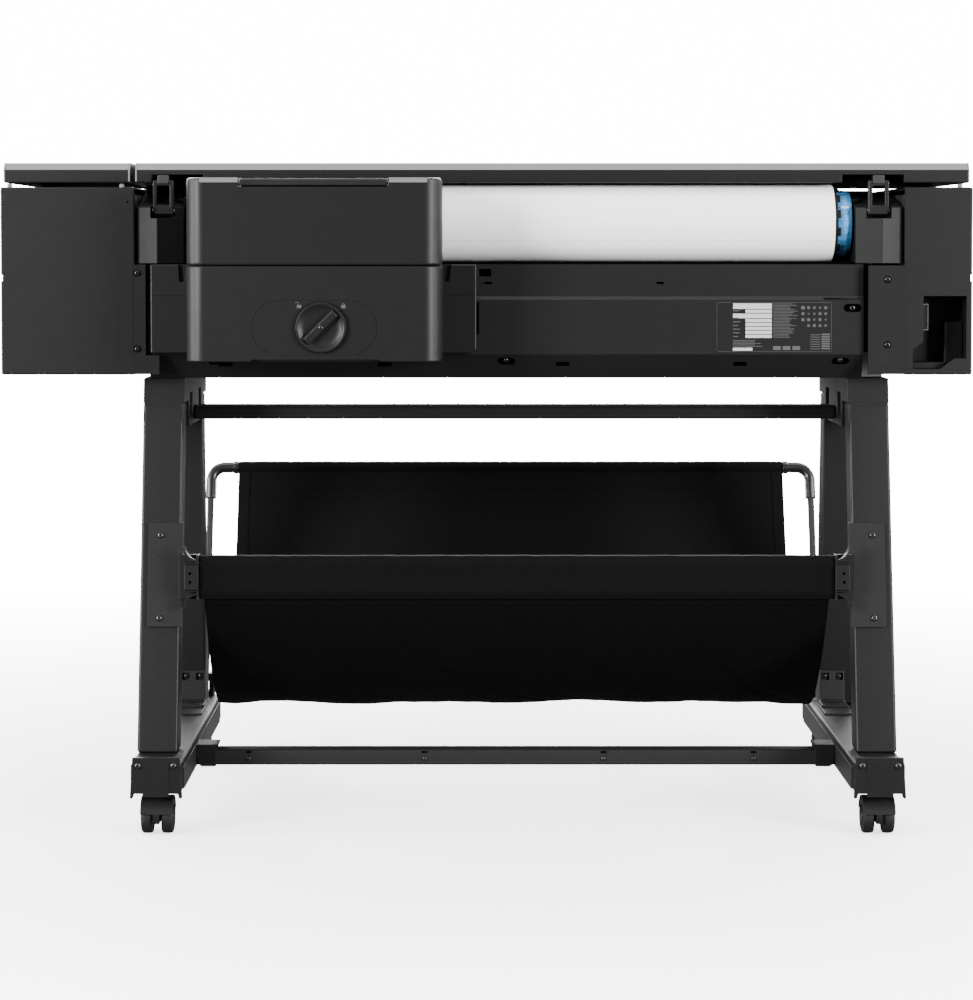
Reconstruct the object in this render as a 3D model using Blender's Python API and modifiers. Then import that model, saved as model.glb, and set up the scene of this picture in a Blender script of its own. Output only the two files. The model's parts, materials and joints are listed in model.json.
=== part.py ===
"""Large format roll-fed plotter on a wheeled stand, as separate sub-parts.

Metres, +Z up.  The machine's rear faces -Y and its paper outlet faces +Y.
The origin is on the floor, under the middle of the whole object.
"""
import math

import bmesh
import bpy
from mathutils import Matrix, Vector

# ---------------------------------------------------------------- driving dimensions
HALF_WIDTH = 0.700
GAP = 0.0005                      # clearance between pieces that touch

# Printer body
BODY_REAR, BODY_FRONT = -0.2115, 0.2115
BODY_BOTTOM, BODY_TOP = 0.640, 0.910
LID_REAR, LID_FRONT = -0.180, 0.150
LID_BOTTOM, LID_TOP = 0.917, 0.946
LID_HINGE = (-0.178, 0.919)       # y, z of both lids' hinge line
CABINET_WALL = 0.004
LEFT_EDGE, RIGHT_EDGE = -0.507, 0.6017      # inner edges of the two cabinets
FLANGE_Y = (BODY_REAR + 0.0003, BODY_REAR + 0.005)      # the cabinets' rear flanges
FLANGE_BOTTOM = BODY_BOTTOM + 0.0006
BEAM_X = (-0.489, 0.545)
BEAM_TOP, BEAM_BOTTOM = 0.799, 0.634
BEAM_REAR = -0.201
SHEET = 0.003                     # thickness of folded and moulded sheets

# Roll bay
BAY_X = 0.0475                    # middle of the bay
ROLL_AXIS = (-0.140, 0.859)       # y, z
ROLL_RADIUS, CORE_RADIUS = 0.056, 0.0385
ROLL_HALF = 0.457                 # half of a 36 inch roll
HUB_RADIUS, SHAFT_RADIUS = 0.048, 0.010
SUPPORT_INNER, SUPPORT_OUTER = 0.4855, 0.5535   # from the middle of the bay
SUPPORT_TOP = 0.905
LEVER_X = (-0.4665, 0.5655)
LEVER_PIVOT = (-0.197, 0.8765)

# Sheet feeder on the rear
FEEDER_X = (-0.4226, -0.0634)
FEEDER_REAR, FEEDER_FRONT = -0.330, -0.2155
FEEDER_BOTTOM, FEEDER_SEAM, FEEDER_TOP = 0.663, 0.7978, 0.921
FEEDER_CORNER = 0.026
HANDLE_X = (-0.347, -0.139)
KNOB_CENTRE = (-0.2324, 0.7115)   # x, z
KNOB_RADIUS = 0.0355

# Stand
STAND_X = 0.043                   # middle of the stand
LEG_OFFSET, FOOT_OFFSET = 0.5125, 0.506
COLUMN_WIDTH, COLUMN_DEPTH = 0.058, 0.048
STAND_TOP, COLUMN_TOP, FOOT_TOP, FOOT_BOTTOM = 0.6335, 0.598, 0.103, 0.0613
REAR_LEAN = ((-0.2815, FOOT_TOP), (-0.1815, 0.611))    # rear face, bottom and top
FRONT_LEAN = ((0.140, FOOT_TOP), (0.092, 0.611))
FOOT_WIDTH = 0.073
FOOT_REAR, FOOT_FRONT = -0.352, 0.245
CASTER_Y = {"rear": (-0.318, -0.012), "front": (0.195, 0.012)}   # stem, trail
WHEEL_RADIUS, WHEEL_HALF = 0.025, 0.0225

# Basket
BASKET_HALF = 0.454
BASKET_PIVOT = (0.232, 0.128)     # y, z
BASKET_TUBE = (0.349, 0.4615)
BASKET_TUBE_RADIUS = 0.011
BASKET_BAR_Y = (-0.262, -0.238)
BASKET_BAR_Z = (0.320, 0.384)
BASKET_LOW = (0.020, 0.128)
FABRIC = 0.0025

FINISHES = {
    "charcoal": ((0.030, 0.030, 0.033), 0.45, 0.0),
    "black": ((0.010, 0.010, 0.011), 0.55, 0.0),
    "grey": ((0.25, 0.25, 0.26), 0.45, 0.0),
    "steel": ((0.55, 0.55, 0.56), 0.35, 1.0),
    "dark steel": ((0.045, 0.045, 0.048), 0.42, 0.3),
    "blue": ((0.02, 0.16, 0.45), 0.40, 0.0),
    "paper": ((0.85, 0.85, 0.84), 0.85, 0.0),
    "fabric": ((0.035, 0.035, 0.037), 0.90, 0.0),
    "rubber": ((0.020, 0.020, 0.020), 0.80, 0.0),
}

# Turns a flat outline's own axes so that it is extruded along the named world axis
FACING = {
    "X": Matrix(((0, 0, 1), (1, 0, 0), (0, 1, 0))).to_4x4(),
    "Y": Matrix(((1, 0, 0), (0, 0, -1), (0, 1, 0))).to_4x4(),
    "Z": Matrix.Identity(4),
}


# ---------------------------------------------------------------- helpers
def start_scene():
    for obj in list(bpy.data.objects):
        bpy.data.objects.remove(obj, do_unlink=True)
    made = {}
    for name in ("large_format_plotter", "cutters"):
        made[name] = bpy.data.collections.new(name)
        bpy.context.scene.collection.children.link(made[name])
    return made


COLLECTIONS = start_scene()


def finish_material(name, finish):
    colour, roughness, metallic = FINISHES[finish]
    made = bpy.data.materials.new(name + "_finish")
    made.use_nodes = True
    shader = made.node_tree.nodes["Principled BSDF"]
    shader.inputs["Base Color"].default_value = (*colour, 1.0)
    shader.inputs["Roughness"].default_value = roughness
    shader.inputs["Metallic"].default_value = metallic
    return made


def mesh_from(bm, name="shape"):
    mesh = bpy.data.meshes.new(name)
    bm.to_mesh(mesh)
    bm.free()
    return mesh


def box_mesh(x, y, z):
    low, high = Vector((x[0], y[0], z[0])), Vector((x[1], y[1], z[1]))
    bm = bmesh.new()
    bmesh.ops.create_cube(bm, size=1.0)
    bmesh.ops.scale(bm, vec=high - low, verts=bm.verts)
    bmesh.ops.translate(bm, vec=(low + high) / 2, verts=bm.verts)
    return mesh_from(bm)


def rod_mesh(centre, radius, low, high, axis, segments=24):
    """A round bar along a world axis; centre holds the two other coordinates."""
    bm = bmesh.new()
    bmesh.ops.create_cone(bm, cap_ends=True, segments=segments,
                          radius1=radius, radius2=radius, depth=high - low)
    sign = -1.0 if axis == "Y" else 1.0
    bmesh.ops.translate(bm, vec=(*centre, sign * (low + high) / 2), verts=bm.verts)
    bmesh.ops.transform(bm, matrix=FACING[axis], verts=bm.verts)
    return mesh_from(bm)


def prism_mesh(outline, low, high, axis, holes=()):
    """A flat outline extruded along a world axis, from low to high."""
    curve = bpy.data.curves.new("outline", "CURVE")
    curve.dimensions = "2D"
    curve.fill_mode = "BOTH"
    curve.extrude = (high - low) / 2
    for loop in (outline, *holes):
        spline = curve.splines.new("POLY")
        spline.points.add(len(loop) - 1)
        for point, (across, up) in zip(spline.points, loop):
            point.co = (across, up, 0.0, 1.0)
        spline.use_cyclic_u = True
    guide = bpy.data.objects.new("outline", curve)
    bpy.context.scene.collection.objects.link(guide)
    graph = bpy.context.evaluated_depsgraph_get()
    flat = bpy.data.meshes.new_from_object(guide.evaluated_get(graph))
    bm = bmesh.new()
    bm.from_mesh(flat)
    bpy.data.objects.remove(guide, do_unlink=True)
    bmesh.ops.remove_doubles(bm, verts=bm.verts, dist=0.00001)
    bmesh.ops.dissolve_limit(bm, angle_limit=0.001, verts=bm.verts, edges=bm.edges)
    sign = -1.0 if axis == "Y" else 1.0
    bmesh.ops.translate(bm, vec=(0, 0, sign * (low + high) / 2), verts=bm.verts)
    bmesh.ops.transform(bm, matrix=FACING[axis], verts=bm.verts)
    bmesh.ops.recalc_face_normals(bm, faces=bm.faces)
    return mesh_from(bm)


def ribbon_mesh(path, low, high):
    """An open sheet that follows (y, z) points and runs along X."""
    bm = bmesh.new()
    rows = [[bm.verts.new((x, y, z)) for y, z in path] for x in (low, high)]
    for near, far in zip(rows, rows[1:]):
        for index in range(len(path) - 1):
            bm.faces.new((near[index], far[index], far[index + 1], near[index + 1]))
    return mesh_from(bm)


def circle(centre, radius, count=20):
    turns = (2 * math.pi * step / count for step in range(count))
    return [(centre[0] + radius * math.cos(a), centre[1] + radius * math.sin(a)) for a in turns]


def arc(centre, radius, start, end, count):
    angles = (math.radians(start + (end - start) * step / count) for step in range(count + 1))
    return [(centre[0] + radius * math.cos(a), centre[1] + radius * math.sin(a)) for a in angles]


def smooth(mesh, angle=35):
    mesh.shade_smooth()
    mesh.set_sharp_from_angle(angle=math.radians(angle))


def add_piece(name, mesh, finish, origin=(0, 0, 0), parent=None):
    """Puts a mesh made in world coordinates on an object whose origin is at a given point."""
    mesh.transform(Matrix.Translation(-Vector(origin)))
    mesh.name = name
    smooth(mesh)
    mesh.materials.append(finish_material(name, finish))
    piece = bpy.data.objects.new(name, mesh)
    COLLECTIONS["large_format_plotter"].objects.link(piece)
    piece.location = origin
    if parent:
        piece.parent = parent
        piece.location = Vector(origin) - parent.location
    return piece


def add_axis(name, point):
    empty = bpy.data.objects.new(name, None)
    empty.empty_display_size = 0.03
    empty.location = point
    COLLECTIONS["large_format_plotter"].objects.link(empty)
    return empty


def bevel(piece, width, segments=1, angle=30):
    modifier = piece.modifiers.new("Rounded edges", "BEVEL")
    modifier.width = width
    modifier.segments = segments
    modifier.limit_method = "ANGLE"
    modifier.angle_limit = math.radians(angle)
    return piece


def combine(piece, mesh, operation):
    """Cuts a mesh, made in world coordinates, from a piece or joins it to the piece."""
    tool = bpy.data.objects.new(f"{piece.name}_{operation.lower()}", mesh)
    tool.display_type = "WIRE"
    tool.hide_render = True
    COLLECTIONS["cutters"].objects.link(tool)
    modifier = piece.modifiers.new(operation.title(), "BOOLEAN")
    modifier.operation = operation
    modifier.object = tool
    modifier.solver = "EXACT"
    return piece


def cut(piece, mesh):
    return combine(piece, mesh, "DIFFERENCE")


def join(piece, mesh):
    return combine(piece, mesh, "UNION")


def solidify(piece, thickness, offset=-1.0):
    modifier = piece.modifiers.new("Thickness", "SOLIDIFY")
    modifier.thickness = thickness
    modifier.offset = offset
    modifier.use_even_offset = True
    return piece


def add_turned(name, profile, finish, centre, closed=False, steps=32):
    """A turned piece whose axis runs along X; the profile holds (radius, place along X)."""
    mesh = bpy.data.meshes.new(name)
    points = [(radius, 0.0, along) for radius, along in profile]
    edges = [(index, index + 1) for index in range(len(points) - 1)]
    if closed:
        edges.append((len(points) - 1, 0))
    mesh.from_pydata(points, edges, [])
    mesh.materials.append(finish_material(name, finish))
    piece = bpy.data.objects.new(name, mesh)
    COLLECTIONS["large_format_plotter"].objects.link(piece)
    piece.location = centre
    piece.rotation_euler = (0, math.pi / 2, 0)
    modifier = piece.modifiers.new("Turned", "SCREW")
    modifier.steps = steps
    modifier.render_steps = steps
    modifier.use_merge_vertices = True
    modifier.merge_threshold = 0.00005
    modifier.use_smooth_shade = True
    return piece


def on_side(middle, offset, side):
    return middle + side * offset


def span(middle, near, far, side):
    """X range of a piece between two distances from a middle plane, on one side of it."""
    return tuple(sorted((middle + side * near, middle + side * far)))


SIDES = (("left", -1), ("right", 1))


# ---------------------------------------------------------------- stand
def lean_face(line, z):
    (y_low, z_low), (y_high, z_high) = line
    return y_low + (y_high - y_low) * (z - z_low) / (z_high - z_low)


def make_columns():
    for side, sign in SIDES:
        middle = on_side(STAND_X, LEG_OFFSET, sign)
        x = (middle - COLUMN_WIDTH / 2, middle + COLUMN_WIDTH / 2)
        for place, line in (("rear", REAR_LEAN), ("front", FRONT_LEAN)):
            bottom, top = FOOT_TOP + GAP, COLUMN_TOP - GAP
            low, high = lean_face(line, bottom), lean_face(line, top)
            outline = [(low, bottom), (low + COLUMN_DEPTH, bottom),
                       (high + COLUMN_DEPTH, top), (high, top)]
            column = add_piece(f"{side}_{place}_column", prism_mesh(outline, *x, "X"), "dark steel")
            bevel(column, 0.004, 2)


def make_leg_heads():
    half = COLUMN_WIDTH / 2 + 0.002
    for side, sign in SIDES:
        middle = on_side(STAND_X, LEG_OFFSET, sign)
        rear, front = -0.186, 0.143
        outline = [(rear, COLUMN_TOP), (-0.1255, COLUMN_TOP), (-0.118, 0.560), (0.078, 0.560),
                   (0.0855, COLUMN_TOP), (front, COLUMN_TOP), (front, STAND_TOP), (rear, STAND_TOP)]
        windows = [[(y, 0.576), (y + 0.040, 0.576), (y + 0.040, 0.609), (y, 0.609)]
                   for y in (-0.108, 0.022)]
        mesh = prism_mesh(outline, middle - half, middle + half, "X", windows)
        add_piece(f"{side}_leg_head", mesh, "dark steel")


def make_feet():
    half = FOOT_WIDTH / 2
    for side, sign in SIDES:
        middle = on_side(STAND_X, FOOT_OFFSET, sign)
        x = (middle - half, middle + half)
        beam = add_piece(f"{side}_foot_beam",
                         box_mesh(x, (FOOT_REAR, FOOT_FRONT), (FOOT_BOTTOM, FOOT_TOP)), "dark steel")
        bevel(beam, 0.005, 2)
        # fork that holds the basket arm's pivot
        arm = on_side(STAND_X, BASKET_HALF + 0.039, sign)
        lug = (BASKET_PIVOT[0] - 0.012, BASKET_PIVOT[0] + 0.012)
        join(beam, box_mesh((arm - 0.014, arm + 0.014), lug, (FOOT_TOP - 0.01, 0.140)))
        cut(beam, box_mesh((arm - 0.0065, arm + 0.0065), (lug[0] - 0.01, lug[1] + 0.01),
                           (0.111, 0.160)))
        # moulded cap that closes the rear end
        outline = [(middle - half, FOOT_BOTTOM), (middle - 0.016, FOOT_BOTTOM),
                   (middle - 0.014, 0.0537), (middle + 0.014, 0.0537), (middle + 0.016, FOOT_BOTTOM),
                   (middle + half, FOOT_BOTTOM), (middle + half, 0.093), (middle + half - 0.008, 0.112),
                   (middle - half + 0.008, 0.112), (middle - half, 0.093)]
        cap = add_piece(f"{side}_foot_rear_cap",
                        prism_mesh(outline, -0.360, FOOT_REAR - GAP, "Y"), "charcoal")
        bevel(cap, 0.0015)


def make_crossbars():
    inner = LEG_OFFSET - COLUMN_WIDTH / 2 - 0.002 - GAP
    upper = add_piece("upper_crossbar",
                      box_mesh(span(STAND_X, -inner, inner, 1), (-0.056, 0.002), (0.5665, 0.585)),
                      "dark steel")
    bevel(upper, 0.003, 2)
    reach = FOOT_OFFSET - FOOT_WIDTH / 2 - GAP
    lower = add_piece("lower_crossbar",
                      box_mesh(span(STAND_X, -reach, reach, 1), (-0.165, -0.135), (0.0645, 0.087)),
                      "dark steel")
    bevel(lower, 0.003, 2)


def make_basket_brackets():
    """Leaning plates on the rear columns, each with an ear that takes the basket's rear bar."""
    bottom, top = 0.280, 0.427
    offset, thickness = 0.0005, 0.004
    for side, sign in SIDES:
        outer, inner = STAND_X + sign * 0.5297, STAND_X + sign * 0.4796
        x = tuple(sorted((outer, inner)))
        outline = []
        for z, back in ((bottom, thickness), (top, thickness), (top, 0), (bottom, 0)):
            outline.append((lean_face(REAR_LEAN, z) - offset - back, z))
        plate = add_piece(f"{side}_basket_bracket", prism_mesh(outline, *x, "X"), "dark steel")
        ear = span(STAND_X, BASKET_HALF + GAP, 0.484, sign)
        join(plate, box_mesh(ear, (-0.250, -0.2395), BASKET_BAR_Z))
        join(plate, box_mesh(span(STAND_X, BASKET_HALF + GAP, BASKET_HALF + 0.004, sign),
                             BASKET_BAR_Y, BASKET_BAR_Z))


def make_casters():
    """Twin-wheel swivel casters: a hooded fork, and two wheels on one axle."""
    hood = WHEEL_RADIUS + 0.0035
    clear = WHEEL_RADIUS + 0.0014
    for place, (stem, trail) in CASTER_Y.items():
        for side, sign in SIDES:
            x = on_side(STAND_X, FOOT_OFFSET, sign)
            y = stem + trail
            axle = (y, WHEEL_RADIUS)
            web = arc(axle, hood, -15, 195, 14)
            mesh = prism_mesh(web, x - 0.0045, x + 0.0045, "X", [circle(axle, 0.0052, 12)])
            fork = add_piece(f"{place}_{side}_caster_fork", mesh, "black", (x, stem, WHEEL_RADIUS))
            cover = arc(axle, hood - 0.0001, 12, 168, 12) + arc(axle, clear, 168, 12, 12)
            join(fork, prism_mesh(cover, x - WHEEL_HALF, x + WHEEL_HALF, "X"))
            join(fork, rod_mesh((x, stem), 0.0065, WHEEL_RADIUS + 0.0262, FOOT_BOTTOM - GAP, "Z", 16))
            rim, inner, half = WHEEL_RADIUS, 0.0062, WHEEL_HALF
            profile = [(0, half), (rim - 0.004, half), (rim, half - 0.003), (rim, inner + 0.001),
                       (rim - 0.001, inner), (0.0042, inner), (0.0042, -inner), (rim - 0.001, -inner),
                       (rim, -inner - 0.001), (rim, -half + 0.003), (rim - 0.004, -half), (0, -half)]
            add_turned(f"{place}_{side}_caster_wheels", profile, "rubber", (x, y, WHEEL_RADIUS),
                       steps=28)


# ---------------------------------------------------------------- basket
def make_basket():
    bar = add_piece("basket_rear_bar",
                    box_mesh(span(STAND_X, -BASKET_HALF, BASKET_HALF, 1), BASKET_BAR_Y, BASKET_BAR_Z),
                    "fabric")
    bevel(bar, 0.010, 3)
    pivot = (STAND_X, *BASKET_PIVOT)
    frame = add_axis("basket_frame_pivot", pivot)
    sleeve = 0.448
    tube = rod_mesh(BASKET_TUBE, BASKET_TUBE_RADIUS, STAND_X - sleeve, STAND_X + sleeve, "X", 20)
    add_piece("basket_front_tube", tube, "fabric", pivot, frame)
    lean = (Vector(BASKET_PIVOT) - Vector(BASKET_TUBE)).normalized()
    for side, sign in SIDES:
        make_basket_arm(side, sign, sleeve, lean, frame)
    add_piece("basket_fabric", ribbon_mesh(sling_path(24), STAND_X - sleeve, STAND_X + sleeve),
              "fabric")
    solidify(bpy.data.objects["basket_fabric"], FABRIC, 0.0)


def make_basket_arm(side, sign, sleeve, lean, frame):
    """A round arm that leaves the front tube, turns down and ends at the foot's pivot."""
    corner = 0.022
    outer = BASKET_HALF + 0.039
    start = Vector((STAND_X + sign * (sleeve + GAP), *BASKET_TUBE))
    turn = Vector((STAND_X + sign * outer, *BASKET_TUBE))
    across = Vector((sign, 0, 0))
    down = Vector((0, *lean))
    points = [start]
    for step in range(6):
        angle = math.radians(90 * step / 5)
        points.append(turn - across * corner * (1 - math.sin(angle))
                      + down * corner * (1 - math.cos(angle)))
    points.append(Vector((STAND_X + sign * outer, *BASKET_PIVOT)) + down * 0.002)
    curve = bpy.data.curves.new(f"{side}_basket_arm", "CURVE")
    curve.dimensions = "3D"
    spline = curve.splines.new("POLY")
    spline.points.add(len(points) - 1)
    for point, place in zip(spline.points, points):
        point.co = (*(place - frame.location), 1.0)
    curve.bevel_depth = 0.0055
    curve.bevel_resolution = 2
    curve.use_fill_caps = True
    curve.materials.append(finish_material(curve.name, "grey"))
    arm = bpy.data.objects.new(curve.name, curve)
    COLLECTIONS["large_format_plotter"].objects.link(arm)
    arm.parent = frame


def sling_path(count):
    """(y, z) points of the hanging fabric, from under the rear bar to under the front tube."""
    rear, front = (-0.250, 0.3150), (0.3370, 0.4450)
    low_y, low_z = BASKET_LOW
    path = []
    for step in range(count + 1):
        y = rear[0] + (front[0] - rear[0]) * step / count
        end, power = (rear, 2.1) if y < low_y else (front, 2.5)
        path.append((y, low_z + (end[1] - low_z) * abs((y - low_y) / (end[0] - low_y)) ** power))
    return path


# ---------------------------------------------------------------- printer body
def cabinet_outline(inset=0.0):
    """Side view of a cabinet (y, z), drawn a wall thickness smaller for its hollow."""
    rear, front = BODY_REAR + inset, BODY_FRONT - inset
    bottom, top = BODY_BOTTOM + inset, BODY_TOP - inset
    return [(rear, bottom), (0.196 - 0.6 * inset, bottom), (front, 0.672), (front, 0.815 - 0.2 * inset),
            (0.178 - 0.7 * inset, 0.895 - 0.7 * inset), (0.150 - 0.2 * inset, top), (rear, top)]


def make_left_cabinet():
    mesh = prism_mesh(cabinet_outline(), -HALF_WIDTH, LEFT_EDGE, "X")
    cabinet = bevel(add_piece("left_cabinet", mesh, "charcoal"), 0.0025, 2)
    cut(cabinet, prism_mesh(cabinet_outline(CABINET_WALL), -HALF_WIDTH + CABINET_WALL,
                            LEFT_EDGE + 0.02, "X"))
    join(cabinet, box_mesh((-0.520, -0.4915), FLANGE_Y, (0.660, BEAM_TOP)))
    join(cabinet, box_mesh((-0.520, -0.472), FLANGE_Y, (FLANGE_BOTTOM, 0.668)))
    cut(cabinet, box_mesh((-0.710, -HALF_WIDTH + 0.0033), (-0.22, -0.195), (0.775, 0.784)))
    # way in to the ink tanks, under their lid
    cut(cabinet, box_mesh((-0.680, -0.530), (-0.140, 0.120), (0.895, 0.920)))


def make_right_cabinet():
    mesh = prism_mesh(cabinet_outline(), RIGHT_EDGE, HALF_WIDTH, "X")
    cabinet = bevel(add_piece("right_cabinet", mesh, "charcoal"), 0.0025, 2)
    cut(cabinet, prism_mesh(cabinet_outline(CABINET_WALL), RIGHT_EDGE - 0.02,
                            HALF_WIDTH - CABINET_WALL, "X"))
    join(cabinet, box_mesh((0.550, 0.6075), FLANGE_Y, (FLANGE_BOTTOM, 0.7975)))
    cut(cabinet, box_mesh((HALF_WIDTH - 0.0033, 0.710), (-0.22, -0.195), (0.775, 0.784)))
    recess = [(0.6295, 0.7536), (0.6916, 0.7536), (0.6916, 0.6635), (0.6743, 0.6635),
              (0.6541, 0.6483), (0.6144, 0.6483), (0.6144, 0.6772), (0.6295, 0.6873)]
    cut(cabinet, prism_mesh(recess, BODY_REAR - 0.01, BODY_REAR + 0.02, "Y"))
    # moulded pocket behind the recess, and the power inlet on its side wall
    pocket_x, pocket_z = (0.6115, 0.6945), (0.6455, 0.7565)
    rear = BODY_REAR + CABINET_WALL + 0.0011
    pocket = add_piece("inlet_pocket", box_mesh(pocket_x, (rear, -0.150), pocket_z), "black")
    wall = 0.002
    cut(pocket, box_mesh((pocket_x[0] + wall, pocket_x[1] - wall), (rear - 0.01, -0.150 - wall),
                         (pocket_z[0] + wall, pocket_z[1] - wall)))
    inlet_x = (pocket_x[0] + wall + GAP, 0.638)
    inlet = add_piece("power_inlet", box_mesh(inlet_x, (-0.196, -0.160), (0.705, 0.741)), "black")
    cut(inlet, box_mesh((0.620, 0.650), (-0.1905, -0.1655), (0.7135, 0.7325)))


def make_beam_panel():
    path = [(-0.085, BEAM_TOP), (-0.196, BEAM_TOP), (-0.196, 0.753), (BEAM_REAR, 0.748),
            (BEAM_REAR, 0.669), (-0.178, BEAM_BOTTOM), (-0.150, BEAM_BOTTOM)]
    panel = add_piece("rear_beam_panel", ribbon_mesh(path, *BEAM_X), "charcoal")
    solidify(panel, SHEET, 1.0)


def make_front():
    x = (LEFT_EDGE + 0.0025, RIGHT_EDGE - 0.0025)
    cover = [(0.140, 0.9125), (0.166, 0.905), (0.190, 0.880), (0.2045, 0.842)]
    solidify(add_piece("front_cover", ribbon_mesh(cover, *x), "black"), SHEET, -1.0)
    guide = [(0.168, 0.8215), (0.193, 0.8215), (0.207, 0.812), (BODY_FRONT, 0.795),
             (BODY_FRONT, 0.672), (0.196, BODY_BOTTOM), (0.169, BODY_BOTTOM)]
    solidify(add_piece("output_guide", ribbon_mesh(guide, *x), "charcoal"), SHEET, -1.0)
    path = [(-0.0765, 0.805), (-0.0765, 0.888), (-0.062, 0.9005)]
    solidify(add_piece("paper_guide", ribbon_mesh(path, *x), "black"), 0.0025, -1.0)


def make_lids():
    outline = [(LID_REAR, LID_BOTTOM), (LID_FRONT, LID_BOTTOM), (LID_FRONT, 0.936),
               (LID_FRONT - 0.010, LID_TOP), (LID_REAR + 0.008, LID_TOP), (LID_REAR, 0.936)]
    for name, x in (("top_lid", (-0.509, HALF_WIDTH)), ("ink_lid", (-HALF_WIDTH, -0.5175))):
        lid = add_piece(name, prism_mesh(outline, *x, "X"), "charcoal",
                        ((x[0] + x[1]) / 2, *LID_HINGE))
        bevel(lid, 0.0015)
        wall = 0.009
        cut(lid, box_mesh((x[0] + wall, x[1] - wall), (LID_REAR + wall, LID_FRONT - wall),
                          (0.900, 0.938)))
    lid = bpy.data.objects["top_lid"]
    for x in ((-0.486, -0.4107), (0.5153, 0.6054)):
        cut(lid, box_mesh(x, (-0.200, -0.165), (0.900, 0.929)))


def make_control_panel():
    """A sloped panel on the left cabinet's front, with a push button."""
    high, low = Vector((0.1820, 0.8860)), Vector((0.2080, 0.8230))
    along = (low - high).normalized()
    normal = Vector((-along.y, along.x))
    corners = [high + normal * GAP, low + normal * GAP, low + normal * 0.0085, high + normal * 0.0085]
    panel = add_piece("control_panel", prism_mesh([tuple(c) for c in corners], -0.664, -0.540, "X"),
                      "black")
    face = low + normal * 0.0085 - along * 0.013
    centre = Vector((-0.554, *face))
    facing = Vector((0, *normal)).to_track_quat("Z", "X").to_matrix().to_4x4()
    place = Matrix.Translation(centre) @ facing

    def stud(radius, depth, proud):
        bm = bmesh.new()
        bmesh.ops.create_cone(bm, cap_ends=True, segments=20, radius1=radius, radius2=radius,
                              depth=depth + proud)
        bmesh.ops.translate(bm, vec=(0, 0, (proud - depth) / 2), verts=bm.verts)
        bmesh.ops.transform(bm, matrix=place, verts=bm.verts)
        return mesh_from(bm)

    cut(panel, stud(0.0066, 0.0060, 0.004))
    add_piece("power_button", stud(0.0060, 0.0038, 0.0014), "grey", tuple(centre))


def make_inside():
    pan = [(-0.145, 0.6345), (0.165, 0.6345), (0.165, 0.790), (0.1615, 0.790), (0.1615, 0.638),
           (-0.1415, 0.638), (-0.1415, 0.790), (-0.145, 0.790)]
    add_piece("chassis_pan", prism_mesh(pan, -0.4885, 0.580, "X"), "steel")
    roller, rail = (-0.034, 0.812), (0.045, 0.875)
    plate = [(-0.200, 0.650), (0.140, 0.650), (0.140, 0.900), (-0.200, 0.900)]
    plates = {"left": (LEFT_EDGE - 0.0045, LEFT_EDGE - 0.0015),
              "right": (RIGHT_EDGE + 0.0015, RIGHT_EDGE + 0.0045)}
    for side, x in plates.items():
        holes = [circle(roller, 0.0055), circle(rail, 0.0085)]
        add_piece(f"{side}_side_frame", prism_mesh(plate, *x, "X", holes), "steel")
    x = (LEFT_EDGE + 0.0035, RIGHT_EDGE - 0.0035)
    add_piece("platen", box_mesh(x, (-0.015, 0.166), (0.812, 0.820)), "black")
    low, high = plates["left"][0] - 0.001, plates["right"][1] + 0.001
    add_piece("carriage_rail", rod_mesh(rail, 0.008, low, high, "X"), "steel")
    half, middle = (high - low) / 2, (high + low) / 2
    body = half - 0.008
    profile = [(0, half), (0.005, half), (0.005, body), (0.0125, body), (0.0125, -body),
               (0.005, -body), (0.005, -half), (0, -half)]
    add_turned("feed_roller", profile, "rubber", (middle, *roller), steps=24)
    carriage = add_piece("print_carriage", box_mesh((-0.470, -0.350), (0.000, 0.095), (0.826, 0.905)),
                         "black", (-0.410, *rail))
    bevel(carriage, 0.004, 2)
    cut(carriage, rod_mesh(rail, 0.0090, -0.50, -0.30, "X"))
    tanks = add_piece("ink_tanks", box_mesh((-0.675, -0.535), (-0.135, 0.115), (0.790, 0.898)), "black")
    bevel(tanks, 0.003)


# ---------------------------------------------------------------- roll bay
def make_roll():
    centre = (BAY_X, *ROLL_AXIS)
    half = ROLL_HALF
    sheet = [(ROLL_RADIUS, half), (ROLL_RADIUS, -half), (CORE_RADIUS, -half), (CORE_RADIUS, half)]
    add_turned("paper_roll", sheet, "paper", centre, closed=True, steps=48)
    end = SUPPORT_INNER + 0.0115
    add_piece("spindle_shaft", rod_mesh(ROLL_AXIS, SHAFT_RADIUS, BAY_X - end, BAY_X + end, "X"),
              "steel", centre)
    face, flange, stop, stub = half + GAP, half + 0.0045, SUPPORT_INNER - 0.0015, half - 0.035
    bore, plug = SHAFT_RADIUS + GAP, CORE_RADIUS - 0.001
    for side, sign in SIDES:
        outer = [(HUB_RADIUS, stop), (HUB_RADIUS, flange), (0.054, flange), (0.054, face),
                 (plug, face), (plug, stub)]
        inner = [(bore, stub), (bore, stop)]
        profile = outer + inner
        if sign < 0:
            profile = [(radius, -along) for radius, along in reversed(profile)]
        add_turned(f"{side}_hub", profile, "blue", centre, closed=True, steps=40)


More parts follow.
